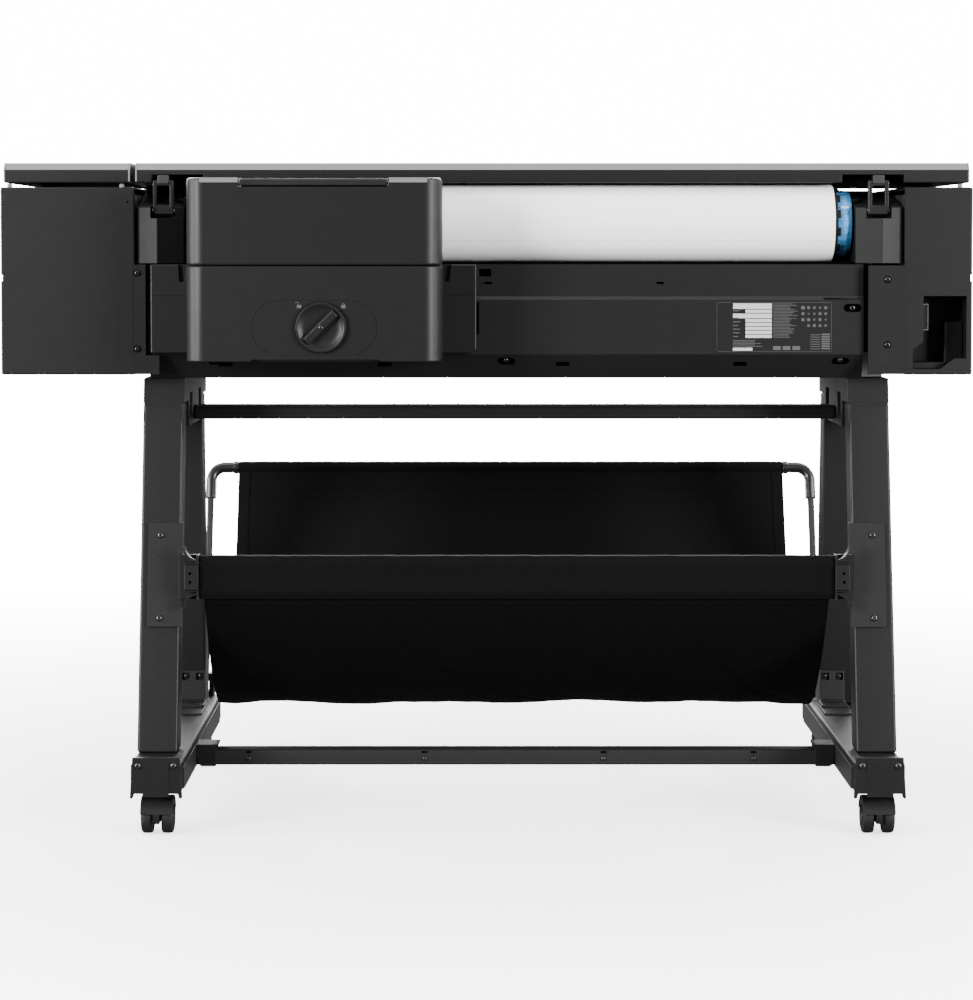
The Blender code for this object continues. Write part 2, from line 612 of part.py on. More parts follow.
def make_spindle_supports():
    for (side, sign), lever in zip(SIDES, LEVER_X):
        inner, outer = BAY_X + sign * SUPPORT_INNER, BAY_X + sign * (SUPPORT_OUTER - 0.0005)
        fold = BAY_X + sign * 0.522
        bottom, front = BEAM_TOP + 0.0015, -0.080
        outline = [(inner, front), (inner, -0.196), (fold, BODY_REAR), (outer, -0.203), (outer, front)]
        mesh = prism_mesh(outline, bottom, SUPPORT_TOP, "Z")
        for vertex in mesh.vertices:
            if vertex.co.z > 0.85 and vertex.co.y < -0.19:
                vertex.co.z -= 0.024
        support = add_piece(f"{side}_spindle_support", mesh, "charcoal")
        slot = span(BAY_X, SUPPORT_INNER - 0.01, SUPPORT_INNER + 0.0165, sign)
        y, z = ROLL_AXIS
        cut(support, box_mesh(slot, (y - 0.0115, y + 0.0115), (z - 0.0115, 0.920)))
        cut(support, box_mesh((lever - 0.0175, lever + 0.0175), (-0.225, -0.179), (0.8655, 0.920)))


def make_levers():
    y, z = LEVER_PIVOT
    for (side, _), x in zip(SIDES, LEVER_X):
        outline = [(x - 0.015, 0.871), (x + 0.015, 0.871), (x + 0.015, 0.920), (x + 0.0075, 0.920),
                   (x + 0.0075, 0.927), (x - 0.0075, 0.927), (x - 0.0075, 0.920), (x - 0.015, 0.920)]
        slot = [(x - 0.009, 0.884), (x + 0.009, 0.884), (x + 0.009, 0.912), (x - 0.009, 0.912)]
        mesh = prism_mesh(outline, y - 0.005, y + 0.005, "Y", [slot])
        lever = add_piece(f"{side}_lever", mesh, "charcoal", (x, y, z))
        bevel(lever, 0.0012)


# ---------------------------------------------------------------- sheet feeder
def feeder_outline(inset=0.0, front=FEEDER_FRONT):
    """Top view of the feeder: square at the front, large round corners at the rear."""
    left, right = FEEDER_X[0] + inset, FEEDER_X[1] - inset
    rear, radius = FEEDER_REAR + inset, FEEDER_CORNER - inset
    return ([(right, front), (left, front)]
            + arc((left + radius, rear + radius), radius, 180, 270, 7)
            + arc((right - radius, rear + radius), radius, 270, 360, 7))


def make_feeder_base():
    wall = 0.005
    base = add_piece("feeder_base", prism_mesh(feeder_outline(), FEEDER_BOTTOM, FEEDER_SEAM - GAP, "Z"),
                     "charcoal")
    bevel(base, 0.0025, 2)
    cut(base, prism_mesh(feeder_outline(wall, FEEDER_FRONT + 0.02), FEEDER_BOTTOM + wall, 0.820, "Z"))
    cut(base, rod_mesh(KNOB_CENTRE, KNOB_RADIUS + 0.0008, FEEDER_REAR - 0.02, FEEDER_REAR + 0.02,
                       "Y", 40))
    cut(base, box_mesh((-0.330, -0.150), (-0.350, -0.320), (0.650, 0.6665)))
    plate = add_piece("feeder_mount_plate",
                      box_mesh((-0.484, -0.015), (-0.2145, -0.2035), (0.671, BEAM_TOP)), "charcoal")
    bevel(plate, 0.0015)


def make_feeder_cover():
    wall = 0.005
    hinge = ((FEEDER_X[0] + FEEDER_X[1]) / 2, FEEDER_REAR, FEEDER_SEAM)
    cover = add_piece("feeder_cover", prism_mesh(feeder_outline(), FEEDER_SEAM + GAP, FEEDER_TOP, "Z"),
                      "charcoal", hinge)
    bevel(cover, 0.004, 2)
    cut(cover, prism_mesh(feeder_outline(wall, FEEDER_FRONT + 0.02), 0.780, FEEDER_TOP - wall, "Z"))
    notch = (HANDLE_X[0] - 0.0015, HANDLE_X[1] + 0.0015)
    cut(cover, box_mesh(notch, (-0.345, -0.2700), (0.9080, 0.930)))
    extension = add_piece("feeder_extension",
                          box_mesh(HANDLE_X, (-0.2960, -0.2740), (0.812, 0.9195)), "black",
                          ((HANDLE_X[0] + HANDLE_X[1]) / 2, -0.285, 0.812))
    join(extension, box_mesh(HANDLE_X, (-0.3275, -0.2850), (0.9095, 0.9195)))


def make_lock_knob():
    x, z = KNOB_CENTRE
    proud, dish, back = 0.006, 0.0015, -0.008
    rim = KNOB_RADIUS
    profile = [(0, dish), (0.026, dish), (0.0313, proud), (rim, proud), (rim, back), (0, back)]
    knob = add_turned("lock_knob", profile, "charcoal", (x, FEEDER_REAR, z), steps=40)
    knob.rotation_euler = (math.pi / 2, 0, 0)
    grip = box_mesh((-0.0063, 0.0063), (-0.0285, 0.0285), (-0.004, 0.0095))
    turn = Matrix.Rotation(math.pi / 2, 4, "X") @ Matrix.Rotation(-math.pi / 4, 4, "Z")
    grip.transform(Matrix.Translation((x, FEEDER_REAR, z)) @ turn)
    join(knob, grip)


def main():
    make_columns()
    make_leg_heads()
    make_feet()
    make_crossbars()
    make_basket_brackets()
    make_casters()
    make_basket()
    make_left_cabinet()
    make_right_cabinet()
    make_beam_panel()
    make_front()
    make_lids()
    make_control_panel()
    make_inside()
    make_roll()
    make_spindle_supports()
    make_levers()
    make_feeder_base()
    make_feeder_cover()
    make_lock_knob()


main()
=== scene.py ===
"""Looks of a large format plotter: finishes, small parts and a studio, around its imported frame."""

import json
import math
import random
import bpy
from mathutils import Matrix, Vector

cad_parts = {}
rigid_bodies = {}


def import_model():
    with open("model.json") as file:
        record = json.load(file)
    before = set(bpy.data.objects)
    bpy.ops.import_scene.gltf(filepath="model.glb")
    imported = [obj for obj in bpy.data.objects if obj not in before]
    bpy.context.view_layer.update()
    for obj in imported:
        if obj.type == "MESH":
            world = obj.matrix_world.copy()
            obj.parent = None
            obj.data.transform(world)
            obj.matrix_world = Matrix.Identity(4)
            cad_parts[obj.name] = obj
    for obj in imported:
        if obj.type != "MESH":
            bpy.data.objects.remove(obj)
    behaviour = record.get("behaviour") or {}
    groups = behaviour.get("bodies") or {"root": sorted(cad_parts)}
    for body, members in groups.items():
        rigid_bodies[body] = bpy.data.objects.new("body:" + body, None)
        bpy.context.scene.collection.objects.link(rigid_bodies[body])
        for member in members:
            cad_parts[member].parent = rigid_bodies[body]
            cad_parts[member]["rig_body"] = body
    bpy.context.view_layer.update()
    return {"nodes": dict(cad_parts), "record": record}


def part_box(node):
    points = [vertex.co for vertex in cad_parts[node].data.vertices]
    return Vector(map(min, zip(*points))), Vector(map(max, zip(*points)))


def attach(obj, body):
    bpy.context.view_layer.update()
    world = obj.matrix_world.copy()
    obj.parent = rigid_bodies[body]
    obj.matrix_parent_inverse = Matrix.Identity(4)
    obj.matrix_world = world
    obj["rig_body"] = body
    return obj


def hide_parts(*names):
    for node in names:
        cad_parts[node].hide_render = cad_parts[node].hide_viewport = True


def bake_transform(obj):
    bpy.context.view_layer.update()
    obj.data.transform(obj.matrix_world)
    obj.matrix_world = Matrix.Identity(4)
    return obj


bl_info = {
    "name": "Plotter Looks",
    "version": (1, 0, 0),
    "blender": (4, 5, 0),
    "location": "3D View > Sidebar > Plotter",
    "description": "Finishes, fabric and small fittings for a large format plotter",
    "category": "Object",
}

import bmesh
import bpy
from mathutils import Matrix, Vector, noise

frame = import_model()
RECORD = frame["record"]
PRINTER = "printer"
BASKET = "basket_frame"
SLOT_OF = {part["node"]: part["material_slot"] for part in RECORD["subparts"]}


def corners(node):
    low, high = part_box(node)
    return Vector(low), Vector(high)


# ---------------------------------------------------------------- sizes and colours a user may change
class PlotterColours(bpy.types.PropertyGroup):
    """Base colours of the finishes."""

    charcoal: bpy.props.FloatVectorProperty(
        name="Charcoal", description="Moulded covers", subtype="COLOR", size=3,
        min=0, max=1, default=(0.0056, 0.0056, 0.0058))
    coat: bpy.props.FloatVectorProperty(
        name="Powder coat", description="Steel stand", subtype="COLOR", size=3,
        min=0, max=1, default=(0.0054, 0.0054, 0.0056))
    black: bpy.props.FloatVectorProperty(
        name="Black", description="Inner mouldings and dark trim", subtype="COLOR", size=3,
        min=0, max=1, default=(0.0028, 0.0028, 0.0030))
    # painted highlight: this light grey stands in for the light caught by the lids' rear chamfer and end
    # edges
    trim: bpy.props.FloatVectorProperty(
        name="Light trim", description="Lid edges and rims", subtype="COLOR", size=3,
        min=0, max=1, default=(0.120, 0.120, 0.122))
    blue: bpy.props.FloatVectorProperty(
        name="Hub blue", description="Roll hubs", subtype="COLOR", size=3,
        min=0, max=1, default=(0.050, 0.190, 0.400))
    paper: bpy.props.FloatVectorProperty(
        name="Paper", description="Roll of coated paper", subtype="COLOR", size=3,
        min=0, max=1, default=(0.800, 0.800, 0.790))
    fabric: bpy.props.FloatVectorProperty(
        name="Basket fabric", description="Woven basket cloth", subtype="COLOR", size=3,
        min=0, max=1, default=(0.0018, 0.0018, 0.0019))


class PlotterSizes(bpy.types.PropertyGroup):
    """Sizes of the details."""

    edge: bpy.props.FloatProperty(
        name="Edge radius", description="Radius of the covers' small edges", unit="LENGTH",
        min=0.0001, max=0.003, default=0.0008)
    screw: bpy.props.FloatProperty(
        name="Screw head", description="Radius of a button-head screw", unit="LENGTH",
        min=0.002, max=0.008, default=0.0046)
    wrinkle: bpy.props.FloatProperty(
        name="Wrinkle depth", description="Depth of the basket fabric's folds", unit="LENGTH",
        min=0, max=0.02, default=0.0050)
    hem: bpy.props.FloatProperty(
        name="Hem width", description="Width of the basket fabric's sewn hems", unit="LENGTH",
        min=0.005, max=0.04, default=0.018)
    rib_pitch: bpy.props.FloatProperty(
        name="Platen rib pitch", description="Distance between the platen's ribs", unit="LENGTH",
        min=0.01, max=0.1, default=0.030)


# ---------------------------------------------------------------- shader maths
class Wire:
    """A shader socket that takes part in Python arithmetic; each operation adds its Math node."""

    def __init__(self, finish, socket):
        self.finish = finish
        self.socket = socket

    def maths(self, operation, *values, clamp=False):
        return self.finish.node("ShaderNodeMath", {"operation": operation, "use_clamp": clamp},
                                dict(enumerate(values)))

    def __add__(self, other):
        return self.maths("ADD", self, other)

    def __sub__(self, other):
        return self.maths("SUBTRACT", self, other)

    def __rsub__(self, other):
        return self.maths("SUBTRACT", other, self)

    def __mul__(self, other):
        return self.maths("MULTIPLY", self, other)

    def __truediv__(self, other):
        return self.maths("DIVIDE", self, other)

    def __pow__(self, other):
        return self.maths("POWER", self, other)

    def __gt__(self, other):
        return self.maths("GREATER_THAN", self, other)

    def __abs__(self):
        return self.maths("ABSOLUTE", self)

    def modulo(self, size):
        return self.maths("FLOORED_MODULO", self, size)

    def sine(self):
        return self.maths("SINE", self)

    def clamped(self):
        return self.maths("ADD", self, 0.0, clamp=True)

    __radd__ = __add__
    __rmul__ = __mul__


class Finish:
    """A material built from nodes around one Principled shader."""

    def __init__(self, name, **constants):
        self.material = bpy.data.materials.new(name)
        self.material.use_nodes = True
        self.tree = self.material.node_tree
        self.shader = self.tree.nodes["Principled BSDF"]
        for socket, value in constants.items():
            self.shader.inputs[socket.replace("_", " ")].default_value = value

    def node(self, kind, settings=None, values=None, output=0):
        """Adds a node: its settings first, then its sockets' values or links."""
        node = self.tree.nodes.new(kind)
        for key, value in (settings or {}).items():
            if key == "stops":
                self._set_stops(node.color_ramp, value)
            else:
                setattr(node, key, value)
        for key, value in (values or {}).items():
            self._feed(self._find(node.inputs, key), value)
        return Wire(self, self._find(node.outputs, output))

    @staticmethod
    def _set_stops(ramp, stops):
        while len(ramp.elements) < len(stops):
            ramp.elements.new(1.0)
        for element, (position, grey) in zip(ramp.elements, stops):
            element.position = position
            element.color = (grey, grey, grey, 1.0)

    @staticmethod
    def _find(sockets, key):
        if isinstance(key, int):
            return sockets[key]
        return next(socket for socket in sockets if key in (socket.identifier, socket.name))

    def _feed(self, socket, value):
        if isinstance(value, Wire):
            self.tree.links.new(value.socket, socket)
        else:
            socket.default_value = value

    def feed(self, name, value):
        self._feed(self.shader.inputs[name], value)

    def place(self, scale=(1, 1, 1)):
        """The point on the object, in metres at rest, stretched by scale."""
        point = self.node("ShaderNodeTexCoord", output="Object")
        return self.node("ShaderNodeVectorMath", {"operation": "MULTIPLY"}, {0: point, 1: scale})

    def along(self, axis):
        return self.node("ShaderNodeSeparateXYZ", values={0: self.place()}, output=axis)

    def noise(self, scale, detail=3.0, roughness=0.5, stretch=(1, 1, 1)):
        values = {"Vector": self.place(stretch), "Scale": scale, "Detail": detail,
                  "Roughness": roughness}
        return self.node("ShaderNodeTexNoise", values=values, output="Fac")

    def cells(self, scale, output="Distance"):
        return self.node("ShaderNodeTexVoronoi", values={"Vector": self.place(), "Scale": scale},
                         output=output)

    def ramp(self, value, *stops):
        return self.node("ShaderNodeValToRGB", {"stops": stops}, {"Fac": value})

    def blend(self, factor, first, second):
        """A colour between two colours."""
        settings = {"data_type": "RGBA"}
        values = {"Factor_Float": factor, "A_Color": first, "B_Color": second}
        return self.node("ShaderNodeMix", settings, values, "Result_Color")

    def facing_up(self):
        """1 where the surface faces up, 0 where it is upright or faces down."""
        normal = self.node("ShaderNodeNewGeometry", output="Normal")
        return self.node("ShaderNodeSeparateXYZ", values={0: normal}, output="Z").clamped()

    def bump(self, height, strength, distance):
        values = {"Height": height, "Strength": strength, "Distance": distance}
        self.feed("Normal", self.node("ShaderNodeBump", values=values))


def shade(colour, factor):
    return (*(min(1.0, part * factor) for part in colour[:3]), 1.0)


# ---------------------------------------------------------------- finishes
def moulded_plastic(name, colour, roughness=0.42, grain=1500, depth=0.00010, dust=0.012):
    """Spark-textured moulding: fine grain, faint flow marks, a little dust on top faces."""
    made = Finish(name, IOR=1.46, Specular_IOR_Level=0.20)
    flow = made.noise(5.0, 2.0)
    pits = made.noise(grain, 2.0, 0.6)
    marks = made.noise(60.0, 4.0, 0.7)
    base = made.blend(flow, shade(colour, 0.90), shade(colour, 1.10))
    dusty = (made.facing_up() * made.noise(240.0, 4.0, 0.65) * dust * 4).clamped()
    made.feed("Base Color", made.blend(dusty, base, (0.10, 0.098, 0.095, 1.0)))
    made.feed("Roughness", pits * 0.10 + marks * 0.08 + (roughness - 0.09))
    made.bump(pits, 0.35, depth)
    return made.material


def powder_coat(name, colour):
    """Sprayed steel: a soft orange-peel surface with sparse dark specks."""
    made = Finish(name, IOR=1.50, Specular_IOR_Level=0.15)
    peel = made.noise(420.0, 2.0, 0.45)
    fine = made.noise(2600.0, 1.0)
    speck = made.cells(700.0)
    base = made.blend(made.noise(7.0, 3.0), shade(colour, 0.86), shade(colour, 1.14))
    made.feed("Base Color", made.blend((speck > 0.62) * 0.35, base, shade(colour, 1.9)))
    made.feed("Roughness", fine * 0.10 + peel * 0.10 + 0.34)
    made.bump(peel + fine * 0.25, 0.30, 0.00022)
    return made.material


def gloss_plastic(name, colour, roughness=0.14):
    """Polished moulding with faint swirl scratches and fingerprints."""
    made = Finish(name, IOR=1.50, Coat_Roughness=0.05)
    smear = made.noise(38.0, 5.0, 0.7)
    swirl = made.noise(900.0, 1.0, 0.5, (1.0, 0.08, 0.2))
    made.feed("Base Color", made.blend(smear, shade(colour, 0.85), shade(colour, 1.25)))
    made.feed("Roughness", smear * 0.10 + swirl * 0.05 + roughness)
    made.feed("Coat Weight", smear * 0.2 + 0.15)
    made.bump(swirl, 0.05, 0.00004)
    return made.material


def drawn_steel(name, colour=(0.56, 0.56, 0.57), stretch=(0.03, 1.0, 1.0), roughness=0.30):
    """Zinc-plated or drawn steel with its grain along one axis."""
    made = Finish(name, Metallic=1.0)
    grain = made.noise(1500.0, 3.0, 0.6, stretch)
    bloom = made.noise(26.0, 4.0, 0.6)
    made.feed("Base Color", made.blend(bloom, shade(colour, 0.82), shade(colour, 1.12)))
    made.feed("Roughness", grain * 0.16 + bloom * 0.12 + (roughness - 0.12))
    made.bump(grain, 0.14, 0.00005)
    return made.material


def painted_shade_recess(name):
    """The near-black of deep recesses and gaps, painted shade, which returns almost no light."""
    made = Finish(name, IOR=1.30, Specular_IOR_Level=0.02)
    lint = made.noise(900.0, 3.0)
    made.feed("Base Color", made.blend(lint, (0.0004, 0.0004, 0.0005, 1.0), (0.0010, 0.0010, 0.0011, 1.0)))
    made.feed("Roughness", lint * 0.05 + 0.92)
    made.bump(lint, 0.2, 0.0001)
    return made.material


def coated_paper(name, colour):
    """Wound coated paper: nearly smooth, with faint bands along the roll and soft mottling."""
    made = Finish(name, IOR=1.42)
    bands = made.noise(9.0, 2.0, 0.5, (0.12, 6.0, 6.0))
    fibre = made.noise(1900.0, 3.0, 0.6)
    mottle = made.noise(70.0, 4.0, 0.6)
    tone = bands * 0.6 + mottle * 0.4
    made.feed("Base Color", made.blend(tone, shade(colour, 0.95), shade(colour, 1.04)))
    made.feed("Roughness", fibre * 0.12 + 0.46)
    made.bump(bands * 0.7 + fibre * 0.3, 0.10, 0.0003)
    return made.material


def paper_edge(name, colour, centre):
    """The end of a wound roll: fine rings around the core."""
    made = Finish(name, IOR=1.40)
    y = made.along("Y") - centre[0]
    z = made.along("Z") - centre[1]
    radius = (y * y + z * z) ** 0.5
    turns = (radius * 5200.0).sine() * 0.5 + 0.5
    slips = made.noise(300.0, 2.0)
    made.feed("Base Color", made.blend(turns * slips, shade(colour, 1.0), shade(colour, 0.66)))
    made.feed("Roughness", turns * 0.1 + 0.62)
    made.bump(turns, 0.4, 0.0002)
    return made.material


def card(name):
    """Spiral-wound brown card."""
    made = Finish(name, IOR=1.40)
    twist = (made.along("X") * 260.0 + made.along("Z") * 90.0).sine() * 0.5 + 0.5
    fibre = made.noise(800.0, 4.0, 0.65)
    made.feed("Base Color", made.blend(fibre * 0.7 + twist * 0.3, (0.24, 0.155, 0.085, 1.0),
                                       (0.40, 0.275, 0.165, 1.0)))
    made.feed("Roughness", fibre * 0.15 + 0.70)
    made.bump(fibre + (twist > 0.97) * 0.6, 0.4, 0.0003)
    return made.material


def woven_cloth(name, colour, pitch=0.0011):
    """Plain-weave polyester: crossing threads, slubs and a soft sheen."""
    made = Finish(name, IOR=1.42, Specular_IOR_Level=0.06)
    turn = 2 * math.pi / pitch
    wander = made.noise(45.0, 2.0) * 1.4
    warp = (made.along("X") * turn + wander).sine()
    across = (made.along("Y") + made.along("Z")) * turn
    weft = (across + wander).sine()
    thread = warp * weft * 0.5 + 0.5
    slub = made.noise(420.0, 3.0, 0.6, (1.0, 0.15, 0.15))
    tone = thread * 0.6 + slub * 0.4
    made.feed("Base Color", made.blend(tone, shade(colour, 0.55), shade(colour, 1.6)))
    made.feed("Roughness", slub * 0.12 + 0.74)
    made.bump(thread + slub * 0.5, 0.55, 0.00035)
    return made.material


def moulded_rubber(name, colour=(0.0045, 0.0045, 0.0045)):
    made = Finish(name, IOR=1.48, Specular_IOR_Level=0.22)
    grit = made.noise(900.0, 4.0, 0.7)
    scuff = made.noise(70.0, 5.0, 0.7)
    made.feed("Base Color", made.blend(scuff, shade(colour, 0.8), shade(colour, 1.9)))
    made.feed("Roughness", scuff * 0.2 + 0.55)
    made.bump(grit, 0.35, 0.00025)
    return made.material


def printed_label(name, base, ink, grain=1200.0):
    """A flat printed film with a faint matt texture."""
    made = Finish(name, IOR=1.46, Specular_IOR_Level=0.20)
    tone = made.noise(grain, 2.0)
    made.feed("Base Color", made.blend(tone * 0.35, base, ink))
    made.feed("Roughness", tone * 0.12 + 0.36)
    made.bump(tone, 0.12, 0.00005)
    return made.material


def smoked_glass(name):
    """The dark window of the screen, with a faint smear."""
    made = Finish(name, IOR=1.52, Coat_Roughness=0.03)
    smear = made.noise(30.0, 4.0, 0.6)
    made.feed("Base Color", made.blend(smear, (0.0012, 0.0015, 0.0020, 1.0), (0.0030, 0.0036, 0.0045, 1.0)))
    made.feed("Roughness", smear * 0.08 + 0.06)
    made.feed("Coat Weight", smear * 0.2 + 0.8)
    return made.material


def studio_paper(name, colour):
    """Pale seamless backdrop paper with a painted glow that brightens it to white away from its middle."""
    made = Finish(name, IOR=1.30, Specular_IOR_Level=0.1, Emission_Strength=16.0)
    x, y = made.along("X"), made.along("Y")
    reach = ((x * x + y * y) ** 0.5 - 0.6) / 2.6
    # the glow is painted light: dim under the plotter, white far away
    glow = reach.clamped() ** 1.6
    made.feed("Emission Color", made.blend(glow, (0.12, 0.12, 0.12, 1.0), (1.0, 1.0, 1.0, 1.0)))
    tone = made.noise(1.5, 3.0)
    made.feed("Base Color", made.blend(tone, shade(colour, 0.985), shade(colour, 1.0)))
    made.feed("Roughness", tone * 0.05 + 0.9)
    return made.material


ROLL_CENTRE = tuple(((corners("paper_roll")[0] + corners("paper_roll")[1]) / 2)[1:])
SLOT_FINISH = {}
EXTRA_FINISH = {}


def make_finishes(colours):
    charcoal, black = tuple(colours.charcoal), tuple(colours.black)
    paper = tuple(colours.paper)
    SLOT_FINISH.update(
        charcoal_plastic=moulded_plastic("satin charcoal moulding", charcoal),
        black_plastic=moulded_plastic("black moulding", black, 0.52, 1100, 0.00012, 0.006),
        grey_plastic=moulded_plastic("grey key moulding", (0.070, 0.070, 0.072), 0.40, 1300),
        blue_plastic=moulded_plastic("blue hub moulding", tuple(colours.blue), 0.36, 1300, 0.00006, 0.0),
        black_gloss=gloss_plastic("polished black window", (0.0030, 0.0030, 0.0033)),
        coated_steel=powder_coat("charcoal powder coat", tuple(colours.coat)),
        zinc_steel=drawn_steel("zinc plated steel"),
        grey_rod=powder_coat("grey coated wire", (0.014, 0.014, 0.0145)),
        wheel_rubber=moulded_rubber("wheel rubber"),
        bag_fabric=woven_cloth("woven basket cloth", tuple(colours.fabric)),
        roll_paper=coated_paper("coated roll paper", paper),
    )
    EXTRA_FINISH.update(
        # painted highlight on the lids' chamfer strips and end rims, where their edges catch the light; the
        # lid rest posts share this finish
        trim=moulded_plastic("light grey trim and painted highlight", tuple(colours.trim), 0.34, 1500, 0.00005, 0.0),
        # painted shade: near-black sheets in recesses, gaps and the roll bay, where there is only shade
        void=painted_shade_recess("unlit recess"),
        # painted highlight: a lighter grey on edges that catch the light, used on the lever tabs, the
        # extension handle's edge and the knob's grip edge
        rim=moulded_plastic("painted highlight rim", (0.022, 0.022, 0.023), 0.40, 1500, 0.00005, 0.0),
        screw=drawn_steel("black oxide screw", (0.085, 0.085, 0.087), (1, 1, 1), 0.34),
        zinc_screw=drawn_steel("bright screw", (0.060, 0.060, 0.062), (1, 1, 1), 0.26),
        roll_end=paper_edge("wound paper edge", paper, ROLL_CENTRE),
        card=card("spiral card core"),
        label=printed_label("label film", (0.0050, 0.0050, 0.0052, 1.0), (0.0075, 0.0075, 0.0078, 1.0)),
        ink=printed_label("label print", (0.34, 0.34, 0.34, 1.0), (0.42, 0.42, 0.42, 1.0)),
        grey_ink=printed_label("grey label print", (0.050, 0.050, 0.050, 1.0), (0.080, 0.080, 0.080, 1.0)),
        glass=smoked_glass("screen window"),
        screen=printed_label("screen tiles", (0.006, 0.035, 0.075, 1.0), (0.012, 0.055, 0.105, 1.0)),
        # painted highlight: a light grey for edges that catch the light, on the feeder cover and the inlet
        cover_edge=moulded_plastic("lit cover edge", (0.100, 0.100, 0.102), 0.40, 1500, 0.00005, 0.0),
        handle=gloss_plastic("handle moulding", (0.0012, 0.0012, 0.0013), 0.30),
        # painted light: a lighter copy of the stand's powder coat for the brackets
        bracket=powder_coat("painted light bracket coat", shade(colours.coat, 1.45)[:3]),
        # painted shade: a darker copy of the charcoal for the spindle supports
        support=moulded_plastic("painted shade support moulding", shade(charcoal, 0.45)[:3], 0.56, 1300),
        # painted light: a lighter copy of the powder coat for faces that catch the light, the feet's inner
        # sides and the lower crossbar
        foot_side=powder_coat("lit foot coat", (0.0110, 0.0110, 0.0114)),
        foam=moulded_rubber("foam strip", (0.0020, 0.0020, 0.0020)),
        thread=woven_cloth("seam thread", (0.0050, 0.0050, 0.0052), 0.0009),
        brass=drawn_steel("plug pin brass", (0.70, 0.55, 0.28), (1, 1, 1), 0.28),
    )


# ---------------------------------------------------------------- shapes
WELD = 0.000005
CAD_WELD = 0.000002
SHARP_ANGLE = 32
CLOTH_SMOOTH = 60


def rounded_box(low, high, radius=0.0008, segments=2):
    bm = bmesh.new()
    bmesh.ops.create_cube(bm, size=1.0)
    low, high = Vector(low), Vector(high)
    bmesh.ops.scale(bm, vec=high - low, verts=bm.verts)
    bmesh.ops.translate(bm, vec=(low + high) / 2, verts=bm.verts)
    if radius:
        bmesh.ops.bevel(bm, geom=bm.edges[:], offset=radius, segments=segments, profile=0.5,
                        affect="EDGES", clamp_overlap=True)
    return bm


def on_plane(axis, across, up, along):
    """A point from its place on the plane across an axis and its place along that axis."""
    return {"X": (along, across, up), "Y": (across, along, up), "Z": (across, up, along)}[axis]


def outline_solid(outline, low, high, axis, radius=0.0):
    """A flat outline extruded along a world axis, with its rims rounded."""
    bm = bmesh.new()
    face = bm.faces.new([bm.verts.new(on_plane(axis, a, u, low)) for a, u in outline])
    grown = bmesh.ops.extrude_face_region(bm, geom=[face])["geom"]
    verts = [item for item in grown if isinstance(item, bmesh.types.BMVert)]
    bmesh.ops.translate(bm, vec=Vector(on_plane(axis, 0, 0, high - low)), verts=verts)
    bmesh.ops.recalc_face_normals(bm, faces=bm.faces)
    if radius:
        rims = [edge for edge in bm.edges if edge.calc_face_angle(0) > math.radians(30)]
        bmesh.ops.bevel(bm, geom=rims, offset=radius, segments=2, profile=0.5, affect="EDGES",
                        clamp_overlap=True)
    return bm


def turned(profile, centre, direction, steps=40):
    """A lathe shape: the profile holds (radius, place along the axis)."""
    bm = bmesh.new()
    verts = [bm.verts.new((radius, 0, along)) for radius, along in profile]
    edges = [bm.edges.new(pair) for pair in zip(verts, verts[1:])]
    bmesh.ops.spin(bm, geom=verts + edges, cent=(0, 0, 0), axis=(0, 0, 1),
                   angle=2 * math.pi, steps=steps, use_merge=True)
    bmesh.ops.remove_doubles(bm, verts=bm.verts, dist=WELD)
    bmesh.ops.recalc_face_normals(bm, faces=bm.faces)
    turn = Vector((0, 0, 1)).rotation_difference(Vector(direction)).to_matrix().to_4x4()
    bmesh.ops.transform(bm, matrix=Matrix.Translation(centre) @ turn, verts=bm.verts)
    return bm


def ring(outer, inner, low, high, centre, direction, steps=48, edge=0.0008):
    """A turned ring with small rounded edges."""
    profile = [(inner, low + edge), (inner + edge, low), (outer - edge, low), (outer, low + edge),
               (outer, high - edge), (outer - edge, high), (inner + edge, high),
               (inner, high - edge), (inner, low + edge)]
    return turned(profile, centre, direction, steps)


def tube(points, radius, sides=10):
    """A round tube along a line of points, with closed ends."""
    curve = bpy.data.curves.new("tube", "CURVE")
    curve.dimensions = "3D"
    curve.bevel_depth = radius
    curve.bevel_resolution = max(1, (sides - 4) // 2)
    curve.use_fill_caps = True
    spline = curve.splines.new("POLY")
    spline.points.add(len(points) - 1)
    for point, place in zip(spline.points, points):
        point.co = (*place, 1.0)
    guide = bpy.data.objects.new("tube", curve)
    bm = evaluated(guide)
    bpy.data.curves.remove(curve)
    return bm


def evaluated(obj):
    """The mesh of an object with its modifiers applied; the object is used up."""
    bpy.context.scene.collection.objects.link(obj)
    graph = bpy.context.evaluated_depsgraph_get()
    mesh = bpy.data.meshes.new_from_object(obj.evaluated_get(graph))
    bpy.data.objects.remove(obj, do_unlink=True)
    bm = bmesh.new()
    bm.from_mesh(mesh)
    bpy.data.meshes.remove(mesh)
    bmesh.ops.remove_doubles(bm, verts=bm.verts, dist=WELD)
    return bm


def merged(shapes):
    """One mesh from several; the shapes are used up."""
    whole = bmesh.new()
    for shape in shapes:
        mesh = bpy.data.meshes.new("part")
        shape.to_mesh(mesh)
        shape.free()
        whole.from_mesh(mesh)
        bpy.data.meshes.remove(mesh)
    return whole


def moved(shape, matrix):
    bmesh.ops.transform(shape, matrix=matrix, verts=shape.verts)
    return shape


def arc_points(centre, radius, start, end, count):
    turns = (math.radians(start + (end - start) * step / count) for step in range(count + 1))
    return [(centre[0] + radius * math.cos(a), centre[1] + radius * math.sin(a)) for a in turns]


def stadium(centre, width, height, count=8):
    """An outline with round ends, wider than high."""
    reach, radius = width / 2 - height / 2, height / 2
    return (arc_points((centre[0] + reach, centre[1]), radius, -90, 90, count)
            + arc_points((centre[0] - reach, centre[1]), radius, 90, 270, count))


